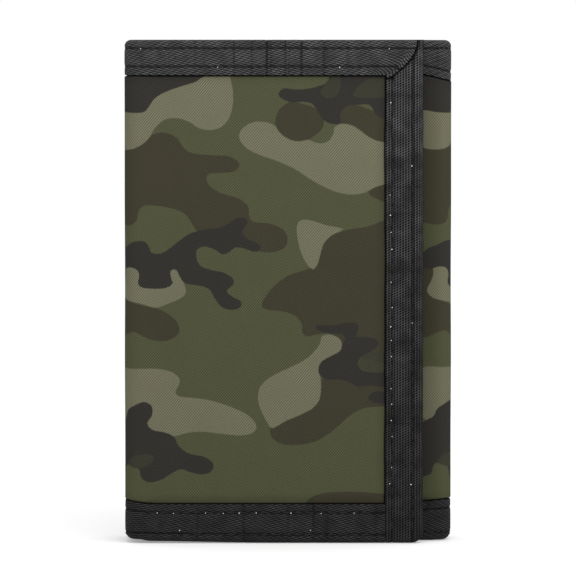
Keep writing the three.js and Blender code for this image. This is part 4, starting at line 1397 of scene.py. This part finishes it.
@dataclass
class TopBindings:
    """The tape over the shell's top edge, one piece for each fold."""

    leg: float = 9.1 * MM
    far: float = 2.45 * MM
    rounding: float = 0.95 * MM
    droop: Swell = Swell(1.6 * MM, 5 * MM, 9 * MM, 16 * MM, 9 * MM)
    shorter: float = 0.4 * MM
    shorter_over: float = 5 * MM
    fold_rounding: float = 0.65 * MM
    overlap: float = 0.28 * MM
    overlap_from: float = 9 * MM
    overlap_over: float = 6 * MM
    tip: float = 0.6 * MM
    tip_from: float = 2.2 * MM
    tip_over: float = 2 * MM
    inner_rounding: float = 0.7 * MM

    def build(self) -> None:
        """Make the four tapes.

        At a free edge the tape ends on the mitre's cut and stands a little proud of the upright tape.
        """
        for span in SPANS:
            start, end = span.ends(MITRE.head)
            along = spaced(start, end, (0.3 if span is FLAP_SPAN else 0.6) * MM)
            ones = np.ones_like(along)
            leg = self.reach(along)
            near = 0 * ones
            if span is FLAP_SPAN:
                near = -self.overlap * smooth_step((along - end + self.overlap_from) / self.overlap_over)
                leg = leg + self.tip * smooth_step((along - end + self.tip_from) / self.tip_over)
            if span is TUCK_SPAN:
                near = -self.overlap * smooth_step((start + self.overlap_from - along) / self.overlap_over)
            rounding = self.rounding + self.fold_rounding * foldness(along, 1.5 * MM)
            tape = LevelTape(f"top_tape_{span.name}", along, PLAN.top, True, leg, near, self.far * ones,
                             rounding, self.inner_rounding * ones, 0 * ones)
            if span in (FLAP_SPAN, TUCK_SPAN):
                tape.cut = lambda height: MITRE.gap(-height) - MITRE.head
                tape.cut_side = 1 if span is FLAP_SPAN else -1
            tape.creases = FLAP_CREASES if span is FLAP_SPAN else scattered(start, end, 70 + len(span.name))
            piece = tape.build()
            span.bend(piece)
            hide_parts(*nodes_of(span, "top_binding"))
            dress(piece, Finish.TAPE_LEVEL)

    def reach(self, along: Array) -> Array:
        """The leg's length: a little shorter on the tuck's side, and longer round the tuck's fold."""
        past_back = smooth_step((BAND.straights[BACK][0] - along) / self.shorter_over)
        return self.leg - self.shorter * past_back + self.droop.near(along, BAND.straights[TUCK][1])


def scattered(start: float, end: float, seed: int) -> tuple[tuple[float, float], ...]:
    """Creases at seeded places, about one to a centimetre, with seeded strengths."""
    random = np.random.RandomState(seed)
    places = np.sort(random.uniform(start, end, int((end - start) / (8 * MM)))) / MM
    return tuple(zip(places.tolist(), random.uniform(0.25, 0.8, len(places)).tolist()))


# How thick each span's leaf is at its lower edge, from its outer to its inner tape.
STACK = {"tuck": 6.35 * MM, "right": 5.0 * MM, "left": 5.0 * MM, "flap": 4.85 * MM}


@dataclass
class BottomBindings:
    """The tape under the bottom edge, one piece for each fold."""

    leg: float = 10.05 * MM
    edge_width: float = 9.65 * MM
    fold_far: float = 2.45 * MM
    spine_far: float = 3.95 * MM
    rounding: float = 1.15 * MM
    corner: float = 2.2 * MM
    edge_gap: float = 0.1 * MM
    flap_swell: Swell = Swell(0.9 * MM, 12 * MM, 6 * MM, 7 * MM, 8 * MM)
    tuck_swell: Swell = Swell(0.6 * MM, 5 * MM, 8 * MM, 14 * MM, 8 * MM)

    def build(self) -> None:
        """Make the four tapes."""
        for span in SPANS:
            start, end = span.ends(self.edge_width + self.edge_gap)
            along = spaced(start, end, 0.6 * MM)
            folded = foldness(along, 1.5 * MM)
            far = self.far(span, along)
            round_near = self.rounding + (self.corner - self.rounding) * folded
            round_far = np.minimum(self.rounding, far - round_near - 0.1 * MM)
            round_far = np.maximum(round_far, 0.15 * MM)
            round_near = np.minimum(round_near, far - round_far - 0.05 * MM)
            creases = scattered(start, end, 50 + len(span.name))
            tape = LevelTape(f"bottom_tape_{span.name}", along, 0.0, False, self.reach(along),
                             np.zeros_like(along), far, round_near, round_far, bottom_bow(along),
                             creases=creases)
            piece = tape.build()
            span.bend(piece)
            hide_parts(*nodes_of(span, "bottom_binding"))
            dress(piece, Finish.TAPE_LEVEL)

    def far(self, span: Span, along: Array) -> Array:
        """The inner leg's depth: the whole stack on a leaf, and the shell alone in a fold."""
        leaf = STACK[span.name]
        spine = foldness(along, 0.6 * MM)
        own = leaf + (self.spine_far - leaf) * spine
        return own + (self.fold_far - own) * in_arcs(along, 1.9 * MM)

    def reach(self, along: Array) -> Array:
        """The leg's length: a little longer round the folds that the flap and the tuck turn on."""
        tuck_fold = BAND.straights[TUCK][1]
        return self.leg + self.flap_swell.near(along, 0) + self.tuck_swell.near(along, tuck_fold)


# ---- edge bindings

EDGE_ROWS = (2.7 * MM, 8.0 * MM)


@dataclass
class EdgeBinding:
    """The tape down a free edge, turned round the lower corner, its top end under the top tape."""

    name: str
    node: str
    body: str
    outward: float
    thickness: float
    width: float = 9.65 * MM
    corner: float = 3 * MM
    fold: float = 1.2 * MM
    tucked: float = 1.3 * MM
    sink: float = 0.4 * MM
    tape: float = 0.45 * MM
    # Width of the painted shadow line along the fold's outer edge.
    shade_line: float = 0.35 * MM
    cut_foot: float = 0.7 * MM
    cut_slant: float = 0.75
    hidden_foot: float = 0.6 * MM
    least_reach: float = 1.2
    crease_strength: float = 0.6
    crease_width: float = 0.5 * MM

    def path(self) -> tuple[Array, Array, Array, Array, Array]:
        """The route of the tape's fold, along the bottom, round the corner and up the edge.

        Distances are from the free edge, growing inward, and heights are from the floor.

        Returns:
            Distance and height of each station, the inward direction's two parts, and how far the
            legs reach there.
        """
        r, width = self.corner, self.width
        bottom = spaced(width, r, 0.6 * MM)[:-1]
        turn = np.linspace(-np.pi / 2, 0, 13)
        rise = spaced(r, PLAN.top, 0.55 * MM)[1:]
        distance = np.concatenate([bottom, r - r * np.cos(turn), np.zeros_like(rise)])
        height = np.concatenate([np.zeros_like(bottom), r + r * np.sin(turn), rise])
        in_x = np.concatenate([np.zeros_like(bottom), np.cos(turn), np.ones_like(rise)])
        in_z = np.concatenate([np.ones_like(bottom), -np.sin(turn), np.zeros_like(rise)])
        hidden = MITRE.gap(PLAN.top - rise) + self.tucked
        covered = rise > PLAN.top - MITRE.leg - self.hidden_foot
        side = np.where(covered, np.minimum(width, hidden), width)
        side = np.minimum(side, rise) + edge_wobble(rise)
        reach = np.concatenate([bottom, np.full_like(turn, r), side])
        return distance, height, in_x, in_z, reach

    def build(self) -> None:
        """Make the tape.

        Across the tape, a point's distance q from the fold's outer line runs from the leg's reach to
        nought and back, and its depth follows a quarter turn, a flat web and a quarter turn.
        """
        distance, height, in_x, in_z, reach = self.path()
        reach = np.maximum(reach, self.fold * self.least_reach)[:, None]
        leg = reach - (reach - self.fold) * LEG_SHARES[:, :-1]
        ones = np.ones((len(distance), 1))
        round_q = self.fold * (1 - np.sin(ROUNDING)) * ones
        round_d = self.fold * (1 - np.cos(ROUNDING)) * ones
        web = (self.fold + (self.thickness - 2 * self.fold) * WEB_SHARES) * ones
        q = np.concatenate([leg, round_q, 0 * web, round_q[:, ::-1], leg[:, ::-1]], 1)
        d = np.concatenate([0 * leg, round_d, web, self.thickness - round_d[:, ::-1],
                            0 * leg + self.thickness], 1)
        step = np.hypot(np.diff(q, axis=1), np.diff(d, axis=1))
        across = np.concatenate([0 * ones, np.cumsum(step, 1)], 1)
        steps = np.hypot(np.diff(distance), np.diff(height))
        run = np.broadcast_to(np.concatenate([[0], np.cumsum(steps)])[:, None], q.shape)
        inward = distance[:, None] + in_x[:, None] * q
        up = height[:, None] + in_z[:, None] * q
        from_row = near_row(inward, EDGE_ROWS, up, UPRIGHT_WANDER_MM)
        into = np.minimum(across, across[:, -1:] - across)
        # Creases at seeded places, which only paint shade in the creases in the material.
        crease = np.zeros_like(q)
        for place, strength in scattered(0, PLAN.top, 90 + len(self.body)):
            bell = np.exp(-((run - place * MM) / self.crease_width) ** 2)
            crease = np.maximum(crease, self.crease_strength * strength * bell)
        proud = proud_of(from_row, into, self.width) + ripple(run, (6, 11, 17), 9) * 0.06 * MM
        out_q, out_d = outward_of(q, d)
        proud = np.where((in_z[:, None] > 0.5) & (out_q < -0.3), np.minimum(proud, 0), proud)
        # The distance past the top tape's cut sinks the tape there and paints a shadow in the gap; near the
        # fold's outer line it is held small, which paints a shadow line along the edge.
        seam = self.past_cut(q, height)
        low = self.sink * smooth_step(1 - seam / (0.9 * MM)) * (d < self.thickness / 2)
        seam = np.where((q < self.shade_line) & (d < self.thickness / 2), np.minimum(seam, 0.2 * MM), seam)
        outer = self.put(distance, height, in_x, in_z, q + out_q * proud, d + out_d * proud + low)
        inner = self.put(distance, height, in_x, in_z, q - out_q * self.tape, d - out_d * self.tape + low)
        piece = closed_sheet(self.name, outer, inner, flat_places(up, inward - d))
        for name, values in (("row", from_row / MM), ("crease", crease), ("seam", seam / MM)):
            on_both_faces(piece, name, values)
        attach(piece, self.body)
        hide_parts(self.node)
        dress(piece, Finish.TAPE_UPRIGHT)

    def past_cut(self, q: Array, height: Array) -> Array:
        """How far each point lies outside the top tape's cut, across the cut's slant."""
        below = PLAN.top - height[:, None]
        at_cut = below < MITRE.leg + self.cut_foot
        slant = (MITRE.gap(below) - q) * self.cut_slant
        under = below - MITRE.leg - self.cut_foot
        return np.where(at_cut, slant, np.maximum(under, MITRE.foot - q))

    def put(self, distance: Array, height: Array, in_x: Array, in_z: Array, q: Array, d: Array) -> Array:
        """Points of the tape from their distance across and their depth."""
        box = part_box(self.node)
        edge = float(box[1][0]) if self.outward > 0 else float(box[0][0])
        x = edge - self.outward * (distance[:, None] + in_x[:, None] * q)
        z = height[:, None] + in_z[:, None] * q
        y = float(box[0][1]) + d
        return np.stack([x, y, z], -1)


# ---- stitching

# Places of pale flecks on the flap: from its left side and from the floor, in mm.
BRIGHT_FLECKS = (
    (29.5, 7.8), (42.9, 7.8), (14.1, 3.3), (68.6, 113.8), (74, 97.5), (55.4, 122.9), (68.5, 84.8), (68.9, 76),
    (68.6, 56), (73.9, 15.2),
)
FAINT_FLECKS = (
    (8.3, 7.8), (12.5, 7.7), (20.8, 7.8), (25.4, 7.7), (33.9, 7.8), (50.7, 7.7), (59.2, 7.8), (47.9, 3.3),
    (68.4, 90), (68.7, 80.4), (68.7, 67.5), (69, 61), (68.8, 52.5), (68.8, 48.3), (68.7, 40), (68.9, 36),
    (68.8, 31.8), (69, 27.6), (68.9, 19.6), (68.4, 15.4), (74.2, 57), (24, 122.9), (68.2, 127.7),
    (4.2, 127.7),
)


@dataclass
class Stitching:
    """Lockstitch rows: short thread lengths lying in the tape's grooves, and pale flecks at holes."""

    pitch: float = 2.9 * MM
    length: float = 2.4 * MM
    radius: float = 0.14 * MM
    sunk: float = 0.02 * MM
    row_inset: float = 2.2 * MM
    edge_inset: float = 10.6 * MM
    fleck_radii_mm: tuple[float, float] = (0.17, 0.10)

    def capsule(self) -> tuple[Array, Array]:
        """A stretched ball on the x axis, one unit from end to end, with closed poles.

        Returns:
            Its points and its triangles.
        """
        rings, sides = 5, 6
        theta = np.linspace(0, np.pi, rings + 2)[1:-1]
        phi = np.arange(sides) / sides * 2 * np.pi
        ring = np.stack([np.broadcast_to(-np.cos(theta)[:, None] / 2, (rings, sides)),
                         np.sin(theta)[:, None] ** 0.6 * np.cos(phi)[None],
                         np.sin(theta)[:, None] ** 0.6 * np.sin(phi)[None]], -1).reshape(-1, 3)
        points = np.concatenate([ring, [[-0.5, 0, 0], [0.5, 0, 0]]])
        i = np.arange(rings - 1)[:, None] * sides
        j = np.arange(sides)[None]
        k = (j + 1) % sides
        a, b, c, d = i + j, i + k, i + sides + k, i + sides + j
        body = np.concatenate([np.stack(np.broadcast_arrays(a, b, c), -1).reshape(-1, 3),
                               np.stack(np.broadcast_arrays(a, c, d), -1).reshape(-1, 3)])
        first, last = len(ring), len(ring) + 1
        side = np.arange(sides)
        after = (side + 1) % sides
        start = np.stack([np.full(sides, first), after, side], -1)
        end_ring = (rings - 1) * sides
        end = np.stack([np.full(sides, last), end_ring + side, end_ring + after], -1)
        return points, np.concatenate([body[:, ::-1], start[:, ::-1], end[:, ::-1]])

    def threads(self, name: str, starts: Array, ends: Array, outward: Array) -> Piece:
        """One capsule from each start to its end.

        Args:
            name: the piece's name.
            starts: where each stitch begins.
            ends: where each stitch ends.
            outward: the surface's direction at each stitch.

        Returns:
            The piece.
        """
        shape, faces = self.capsule()
        axis = ends - starts
        size = np.linalg.norm(axis, axis=1, keepdims=True)
        unit = axis / size
        side = np.cross(outward, unit)
        centre = (starts + ends) / 2
        x, y, z = shape[:, 0], shape[:, 1], shape[:, 2]
        points = (centre[:, None] + x[None, :, None] * axis[:, None]
                  + y[None, :, None] * side[:, None] * self.radius
                  + z[None, :, None] * outward[:, None] * self.radius)
        offsets = np.arange(len(starts))[:, None, None] * len(shape)
        return make_mesh(name, points.reshape(-1, 3), (faces[None] + offsets).reshape(-1, 3))

    def along_band(self, start: float, end: float, heights: Sequence[float]) -> tuple[Array, Array, Array]:
        """Stitch ends and directions for level rows on the band's outer face.

        Args:
            start: where the rows begin.
            end: where they end.
            heights: the rows' heights.

        Returns:
            Starts, ends and outward directions.
        """
        count = int((end - start) / self.pitch)
        first = start + (np.arange(count) + 0.5) * self.pitch - self.length / 2
        wander = row_wander(first, LEVEL_WANDER_MM)
        starts, ends, outs = [], [], []
        for height in heights:
            level = height + wander
            starts.append(BAND.place(first, self.sunk, level))
            ends.append(BAND.place(first + self.length, self.sunk, level))
            face = BAND.place(first + self.length / 2, self.sunk, level)
            deeper = BAND.place(first + self.length / 2, self.sunk + 1 * MM, level)
            outs.append((face - deeper) / np.linalg.norm(face - deeper, axis=1, keepdims=True))
        return np.concatenate(starts), np.concatenate(ends), np.concatenate(outs)

    def build(self) -> None:
        """Make every row of stitches and the flecks."""
        inset = self.row_inset
        heights = (PLAN.top - inset, PLAN.top - TopBindings().leg + inset, inset,
                   BottomBindings().leg - inset)
        for span in SPANS:
            rows = self.along_band(*span.ends(self.edge_inset), heights)
            piece = self.threads(f"stitches_{span.name}", *rows)
            span.bend(piece)
            dress(piece, Finish.THREAD)
        self.edge_rows("stitches_flap_edge", "flap_edge_binding", "flap", 1.0)
        self.edge_rows("stitches_tuck_edge", "tuck_edge_binding", "tuck", -1.0)
        self.flecks()

    def edge_rows(self, name: str, node: str, body: str, outward: float) -> None:
        """Two upright rows on both faces of an edge binding.

        The outer row ends just under the top edge, and the inner one where the top tape covers it.
        """
        low, high = corners_of(node)
        edge = high[0] if outward > 0 else low[0]
        count = int((PLAN.top - 6 * MM) / self.pitch)
        z = 3.5 * MM + np.arange(count) * self.pitch
        starts, ends, outs = [], [], []
        for row in EDGE_ROWS:
            keep = z < PLAN.top - (2.5 * MM if row == EDGE_ROWS[0] else 11 * MM)
            wander = row_wander(z[keep], UPRIGHT_WANDER_MM)
            for y, facing in ((low[1] + self.sunk, -1.0), (high[1] - self.sunk, 1.0)):
                x = edge - outward * (row + wander)
                a = np.stack([x, np.full_like(x, y), z[keep]], -1)
                starts.append(a)
                ends.append(a + [0, 0, self.length])
                outs.append(np.broadcast_to([0.0, facing, 0.0], a.shape))
        piece = self.threads(name, np.concatenate(starts), np.concatenate(ends), np.concatenate(outs))
        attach(piece, body)
        dress(piece, Finish.THREAD)

    def flecks(self) -> None:
        """Pale flecks that show at some needle holes of the flap."""
        places = np.array(BRIGHT_FLECKS + FAINT_FLECKS) * MM
        radii = np.repeat(self.fleck_radii_mm, (len(BRIGHT_FLECKS), len(FAINT_FLECKS))) * MM
        depth = np.full(len(places), PLAN.front - self.sunk)
        at = np.stack([PLAN.left + places[:, 0], depth, places[:, 1]], -1)
        offset = radii[:, None] * [1, 0, 0]
        out = np.broadcast_to([0.0, -1.0, 0.0], at.shape)
        piece = self.threads("needle_hole_flecks", at - offset, at + offset, out)
        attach(piece, "flap")
        dress(piece, Finish.FLECK)


# ---- pockets


@dataclass
class Panel:
    """A flat pocket panel with a hem folded along its top edge."""

    node: str
    body: str
    finish: Finish = Finish.POCKET
    hem: float = 6 * MM
    puff: float = 0.0
    facing: float = 1.0
    hem_proud: float = 0.10 * MM
    groove: float = 0.06 * MM
    sunk: float = 0.06 * MM

    def build(self) -> Piece:
        """Make the panel in the box of its node.

        The face that looks into the wallet stands proud by a hem along the top, with a groove at its
        stitching, and by a low crown over the rest.

        Returns:
            The piece.
        """
        low, high = corners_of(self.node)
        x, z = np.meshgrid(spaced(low[0], high[0], 1.2 * MM), spaced(low[2], high[2], 1.0 * MM),
                           indexing="ij")
        from_top = high[2] - z
        hem = self.hem_proud * hem_edge(from_top, self.hem)
        groove = self.groove * seam_line(from_top, self.hem - 1 * MM)
        across = (x - low[0]) / (high[0] - low[0])
        up = np.clip((z - low[2]) / (high[2] - low[2]), 0, 1)
        crown = self.puff * np.sin(across * np.pi) * np.sin(up * np.pi)
        dip = 0.04 * MM * ripple(x, (21, 37), 2)
        proud = hem - groove + crown * (self.puff > 0) + dip * (self.puff > 0)
        if self.facing > 0:
            front, back = np.full_like(x, low[1]), high[1] - self.sunk + proud
        else:
            front, back = low[1] + self.sunk - proud, np.full_like(x, high[1])
        piece = upright_sheet(f"{self.node}_panel", x, z, front, back)
        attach(piece, self.body)
        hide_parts(self.node)
        dress(piece, self.finish)
        return piece


@dataclass
class WindowFrame:
    """The cloth frame round the clear window, hemmed inside, with a thumb notch at the top."""

    node: str = "id_window_frame"
    border: float = 11.7 * MM
    head: float = 8 * MM
    foot: float = 14 * MM
    notch: tuple[float, float] = (9 * MM, 4.5 * MM)
    hem: float = 2.5 * MM
    hem_proud: float = 0.1 * MM
    stitched: float = 1.7 * MM
    groove: float = 0.08 * MM
    opening_power: float = 12
    edge_power: float = 60
    around: int = 240
    rings: int = 22

    def loops(self, share: Array, low: Array, high: Array) -> Array:
        """Lines round the window, from its opening at share 0 to the panel's edge at share 1.

        The opening and the panel's edge are superellipses, and the edge's higher power makes its
        corners sharper. A notch, half an ellipse, is let into the top of the edge.
        """
        angle = np.arange(self.around) / self.around * 2 * np.pi
        opening = self.rounded(angle, low[0] + self.border, high[0] - self.border, self.foot,
                               high[2] - self.head, self.opening_power)
        edge = self.rounded(angle, low[0], high[0], low[2], high[2], self.edge_power)
        wide, deep = self.notch
        from_middle = np.abs(edge[:, 0] - (low[0] + high[0]) / 2)
        at_top = edge[:, 1] > high[2] - 1 * MM
        dip = deep * np.sqrt(np.clip(1 - (from_middle / wide) ** 2, 0, 1))
        edge[:, 1] -= np.where(at_top, dip, 0)
        return opening[None] + (edge - opening)[None] * share[:, None, None]

    @staticmethod
    def rounded(angle: Array, x0: float, x1: float, z0: float, z1: float, power: float) -> Array:
        """A superellipse in a box: cosine and sine divided by their power norm."""
        c, s = np.cos(angle), np.sin(angle)
        norm = (np.abs(c) ** power + np.abs(s) ** power) ** (1 / power)
        x = (x0 + x1) / 2 + (x1 - x0) / 2 * c / norm
        z = (z0 + z1) / 2 + (z1 - z0) / 2 * s / norm
        return np.stack([x, z], -1)

    def build(self) -> None:
        """Make the frame."""
        low, high = corners_of(self.node)
        share = np.linspace(0, 1, self.rings)
        lines = self.loops(share, low, high)
        into = share * self.border
        hem = self.hem_proud * hem_edge(into, self.hem)
        groove = self.groove * seam_line(into, self.stitched)
        proud = (hem - groove)[:, None] * np.ones(self.around)[None]
        front = np.stack([lines[..., 0], low[1] + self.hem_proud - proud, lines[..., 1]], -1)
        back = np.stack([lines[..., 0], np.full(lines.shape[:2], high[1]), lines[..., 1]], -1)
        ring = np.concatenate([front, back[::-1]])
        faces = ring_quads(len(ring), self.around)
        piece = make_mesh("id_window_surround", ring.reshape(-1, 3), faces)
        piece.data.set_sharp_from_angle(angle=SHARP_ANGLE)
        add_vector(piece, "flat", flat_places(ring[..., 0], ring[..., 2]).reshape(-1, 3))
        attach(piece, "back")
        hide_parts(self.node)
        dress(piece, Finish.POCKET)


@dataclass
class Pockets:
    """Card slots, window, coin pocket and zip tapes."""

    def build(self) -> None:
        """Make every pocket panel."""
        for i in (1, 2, 3):
            Panel(f"flap_card_slot_{i}", "flap").build()
        Panel("back_card_slot", "back", facing=-1.0).build()
        WindowFrame().build()
        Panel("coin_pocket_front", "tuck", puff=0.05 * MM, hem=3 * MM).build()
        Panel("coin_pocket_band", "tuck", hem=0.5 * MM).build()
        for node in ("zip_tape_lower", "zip_tape_upper"):
            Panel(node, "tuck", finish=Finish.ZIP_TAPE, hem=0.4 * MM).build()


@dataclass
class Zip:
    """The coil zip: two rows of teeth that mesh, each tooth one turn of the coil."""

    pitch: float = 1.25 * MM
    tooth: float = 0.62 * MM
    taller: float = 0.35 * MM
    lean: float = 0.3 * MM
    around: int = 14
    round_section: int = 6

    def build(self) -> None:
        """Make both rows of teeth and dress the metal parts."""
        self.row("zip_teeth_lower", 1.0, 0.0)
        self.row("zip_teeth_upper", -1.0, 0.5)
        for node in ("zip_stop_fold_end", "zip_stop_edge_end", "zip_slider", "zip_pull"):
            dress_node(node, Finish.METAL)

    def row(self, node: str, inward: float, phase: float) -> None:
        """One row of teeth: a flattened ring for each turn, leaning into the other row.

        A tooth is a torus stretched across the zip: its centre line is an ellipse in height and
        depth, and its section a circle.
        """
        low, high = corners_of(node)
        count = int((high[0] - low[0] - self.pitch) / self.pitch)
        centres = low[0] + (np.arange(count) + 0.5 + phase) * self.pitch
        u = np.arange(self.around) / self.around * 2 * np.pi
        v = np.arange(self.round_section) / self.round_section * 2 * np.pi
        radius = self.tooth / 2
        half_z = (high[2] - low[2]) / 2 + self.taller - radius
        half_y = (high[1] - low[1]) / 2 - radius
        grid_u, grid_v = np.meshgrid(u, v, indexing="ij")
        line_z, line_y = half_z * np.cos(grid_u), half_y * np.sin(grid_u)
        normal = np.stack([np.cos(grid_u) / half_z, np.sin(grid_u) / half_y])
        normal = normal / np.linalg.norm(normal, axis=0)
        z = line_z + normal[0] * radius * np.cos(grid_v)
        y = line_y + normal[1] * radius * np.cos(grid_v)
        x = radius * np.sin(grid_v)
        _, middle_y, middle_z = (low + high) / 2 + [0, 0, inward * self.lean]
        shape = np.stack([x, y, z], -1).reshape(-1, 3)
        offset = np.stack([centres, np.full(count, middle_y), np.full(count, middle_z)], -1)
        points = (shape[None] + offset[:, None]).reshape(-1, 3)
        one = ring_quads(self.around, self.round_section)
        faces = (one[None] + np.arange(count)[:, None, None] * len(shape)).reshape(-1, 4)
        piece = make_mesh(f"{node}_coil", points, faces)
        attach(piece, "tuck")
        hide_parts(node)
        dress(piece, Finish.COIL)


def dress_node(node: str, finish: Finish) -> None:
    """Give a node of the frame a finer material and leave its shape as it is."""
    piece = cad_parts[node]
    piece.data.materials.clear()
    piece.data.materials.append(MATERIALS[finish])
    LOG.info("node %s: %s", node, finish.name.lower())


@dataclass
class ClosureStrip:
    """A pad of hooks or loops with a bound, flat rim and an uneven pile in the middle."""

    node: str
    body: str
    finish: Finish
    facing: float
    rim: float = 1.6 * MM
    rim_thickness: float = 0.7 * MM
    step: float = 0.4 * MM
    unevenness: float = 0.12

    def build(self) -> None:
        """Make the pad: a thin rim, and a pile that rises to the node's full thickness inside it."""
        low, high = corners_of(self.node)
        x, z = np.meshgrid(spaced(low[0], high[0], self.step), spaced(low[2], high[2], self.step),
                           indexing="ij")
        into = np.minimum(np.minimum(x - low[0], high[0] - x), np.minimum(z - low[2], high[2] - z))
        rise = smooth_step((into - self.rim) / (0.5 * MM))
        full = high[1] - low[1]
        random = np.random.RandomState(12).uniform(-1, 1, x.shape)
        uneven = 1 - self.unevenness + self.unevenness * random
        height = self.rim_thickness + (full - self.rim_thickness) * rise * uneven
        if self.facing > 0:
            front, back = np.full_like(x, low[1]), low[1] + height
        else:
            front, back = high[1] - height, np.full_like(x, high[1])
        piece = upright_sheet(f"{self.node}_pad", x, z, front, back)
        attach(piece, self.body)
        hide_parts(self.node)
        dress(piece, self.finish)


# ---- stage


@dataclass(frozen=True)
class Studio:
    """A white floor, soft light from all round and a soft lamp above the front."""

    distance: float = 1.2
    eye_height: float = 0.121
    sideways: float = -0.00008
    aim_height: float = 0.06604
    field_width: float = 0.1484
    sensor_mm: float = 36.0
    horizon: float = 0.3
    overhead: float = 1.5
    lamp_watts: float = 3.4
    lamp_place: tuple[float, float, float] = (0.22, -0.5, 0.62)
    lamp_size: tuple[float, float] = (0.7, 0.4)
    lamp_aim_height: float = 0.10
    floor_colour: str = "#c0c0c0"
    floor_glow: float = 0.32

    def build(self) -> None:
        """Make the floor, the lights and the camera."""
        self.floor()
        self.light()
        self.camera()

    def floor(self) -> None:
        """A plain pale floor, with a weak glow that lightens the shadow on it."""
        points = np.array([[-4, -4, -1e-4], [4, -4, -1e-4], [4, 6, -1e-4], [-4, 6, -1e-4]])
        floor = make_mesh("studio_floor", points, np.array([[0, 1, 2, 3]]))
        tree = Tree("white_studio_floor")
        tree.surface(linear(self.floor_colour), 0.9, Specular_IOR_Level=0.0, Emission_Color=(1, 1, 1, 1),
                     Emission_Strength=self.floor_glow)
        floor.data.materials.append(tree.material)

    def light(self) -> None:
        """Surroundings that shine mostly from overhead and look white, and a lamp above the front.

        The surroundings' strength is horizon + overhead * (height of the direction).
        """
        world = bpy.data.worlds.new("white_surround")
        world.use_nodes = True
        nodes, links = world.node_tree.nodes, world.node_tree.links
        direction = nodes.new("ShaderNodeSeparateXYZ")
        links.new(nodes.new("ShaderNodeTexCoord").outputs["Generated"], direction.inputs[0])
        sky = nodes.new("ShaderNodeMapRange")
        links.new(direction.outputs[2], sky.inputs[0])
        sky.inputs[3].default_value = self.horizon
        sky.inputs[4].default_value = self.horizon + self.overhead
        seen = nodes.new("ShaderNodeMix")
        links.new(nodes.new("ShaderNodeLightPath").outputs["Is Camera Ray"], seen.inputs[0])
        links.new(sky.outputs[0], seen.inputs[2])
        seen.inputs[3].default_value = 1.0
        background = nodes["Background"]
        background.inputs["Color"].default_value = (1, 1, 1, 1)
        links.new(seen.outputs[0], background.inputs["Strength"])
        bpy.context.scene.world = world
        lamp = bpy.data.lights.new("front_softbox", "AREA")
        lamp.shape = "RECTANGLE"
        lamp.size, lamp.size_y = self.lamp_size
        lamp.energy = self.lamp_watts
        softbox = bpy.data.objects.new("front_softbox", lamp)
        softbox.location = self.lamp_place
        aim = Vector((0, 0, self.lamp_aim_height))
        softbox.rotation_euler = (aim - softbox.location).to_track_quat("-Z", "Y").to_euler()
        bpy.context.scene.collection.objects.link(softbox)

    def camera(self) -> None:
        """A long lens a little above the middle of the wallet, looking straight at the flap."""
        data = bpy.data.cameras.new("camera")
        data.sensor_width = self.sensor_mm
        reach = self.distance + PLAN.front
        data.lens = self.sensor_mm * reach / self.field_width
        data.clip_end = 50
        camera = bpy.data.objects.new("camera", data)
        camera.location = (self.sideways, -self.distance, self.eye_height)
        aim = Vector((self.sideways, PLAN.front, self.aim_height))
        camera.rotation_euler = (aim - camera.location).to_track_quat("-Z", "Y").to_euler()
        bpy.context.scene.collection.objects.link(camera)
        bpy.context.scene.camera = camera
        bpy.context.scene.view_settings.view_transform = "Standard"


def main() -> None:
    """Build the wallet around its frame."""
    make_materials()
    Shell().build()
    InnerPanels().build()
    TopBindings().build()
    BottomBindings().build()
    EdgeBinding("edge_tape_flap", "flap_edge_binding", "flap", 1.0, STACK["flap"]).build()
    EdgeBinding("edge_tape_tuck", "tuck_edge_binding", "tuck", -1.0, STACK["tuck"]).build()
    Stitching().build()
    Pockets().build()
    Zip().build()
    ClosureStrip("hook_strip", "flap", Finish.HOOKS, 1.0).build()
    ClosureStrip("loop_strip", "tuck", Finish.LOOPS, -1.0).build()
    for leaf in ("back", "flap", "tuck"):
        dress_node(f"{leaf}_stiffener", Finish.BOARD)
    dress_node("id_window_film", Finish.FILM)
    Studio().build()


if __name__ == "__main__":
    main()
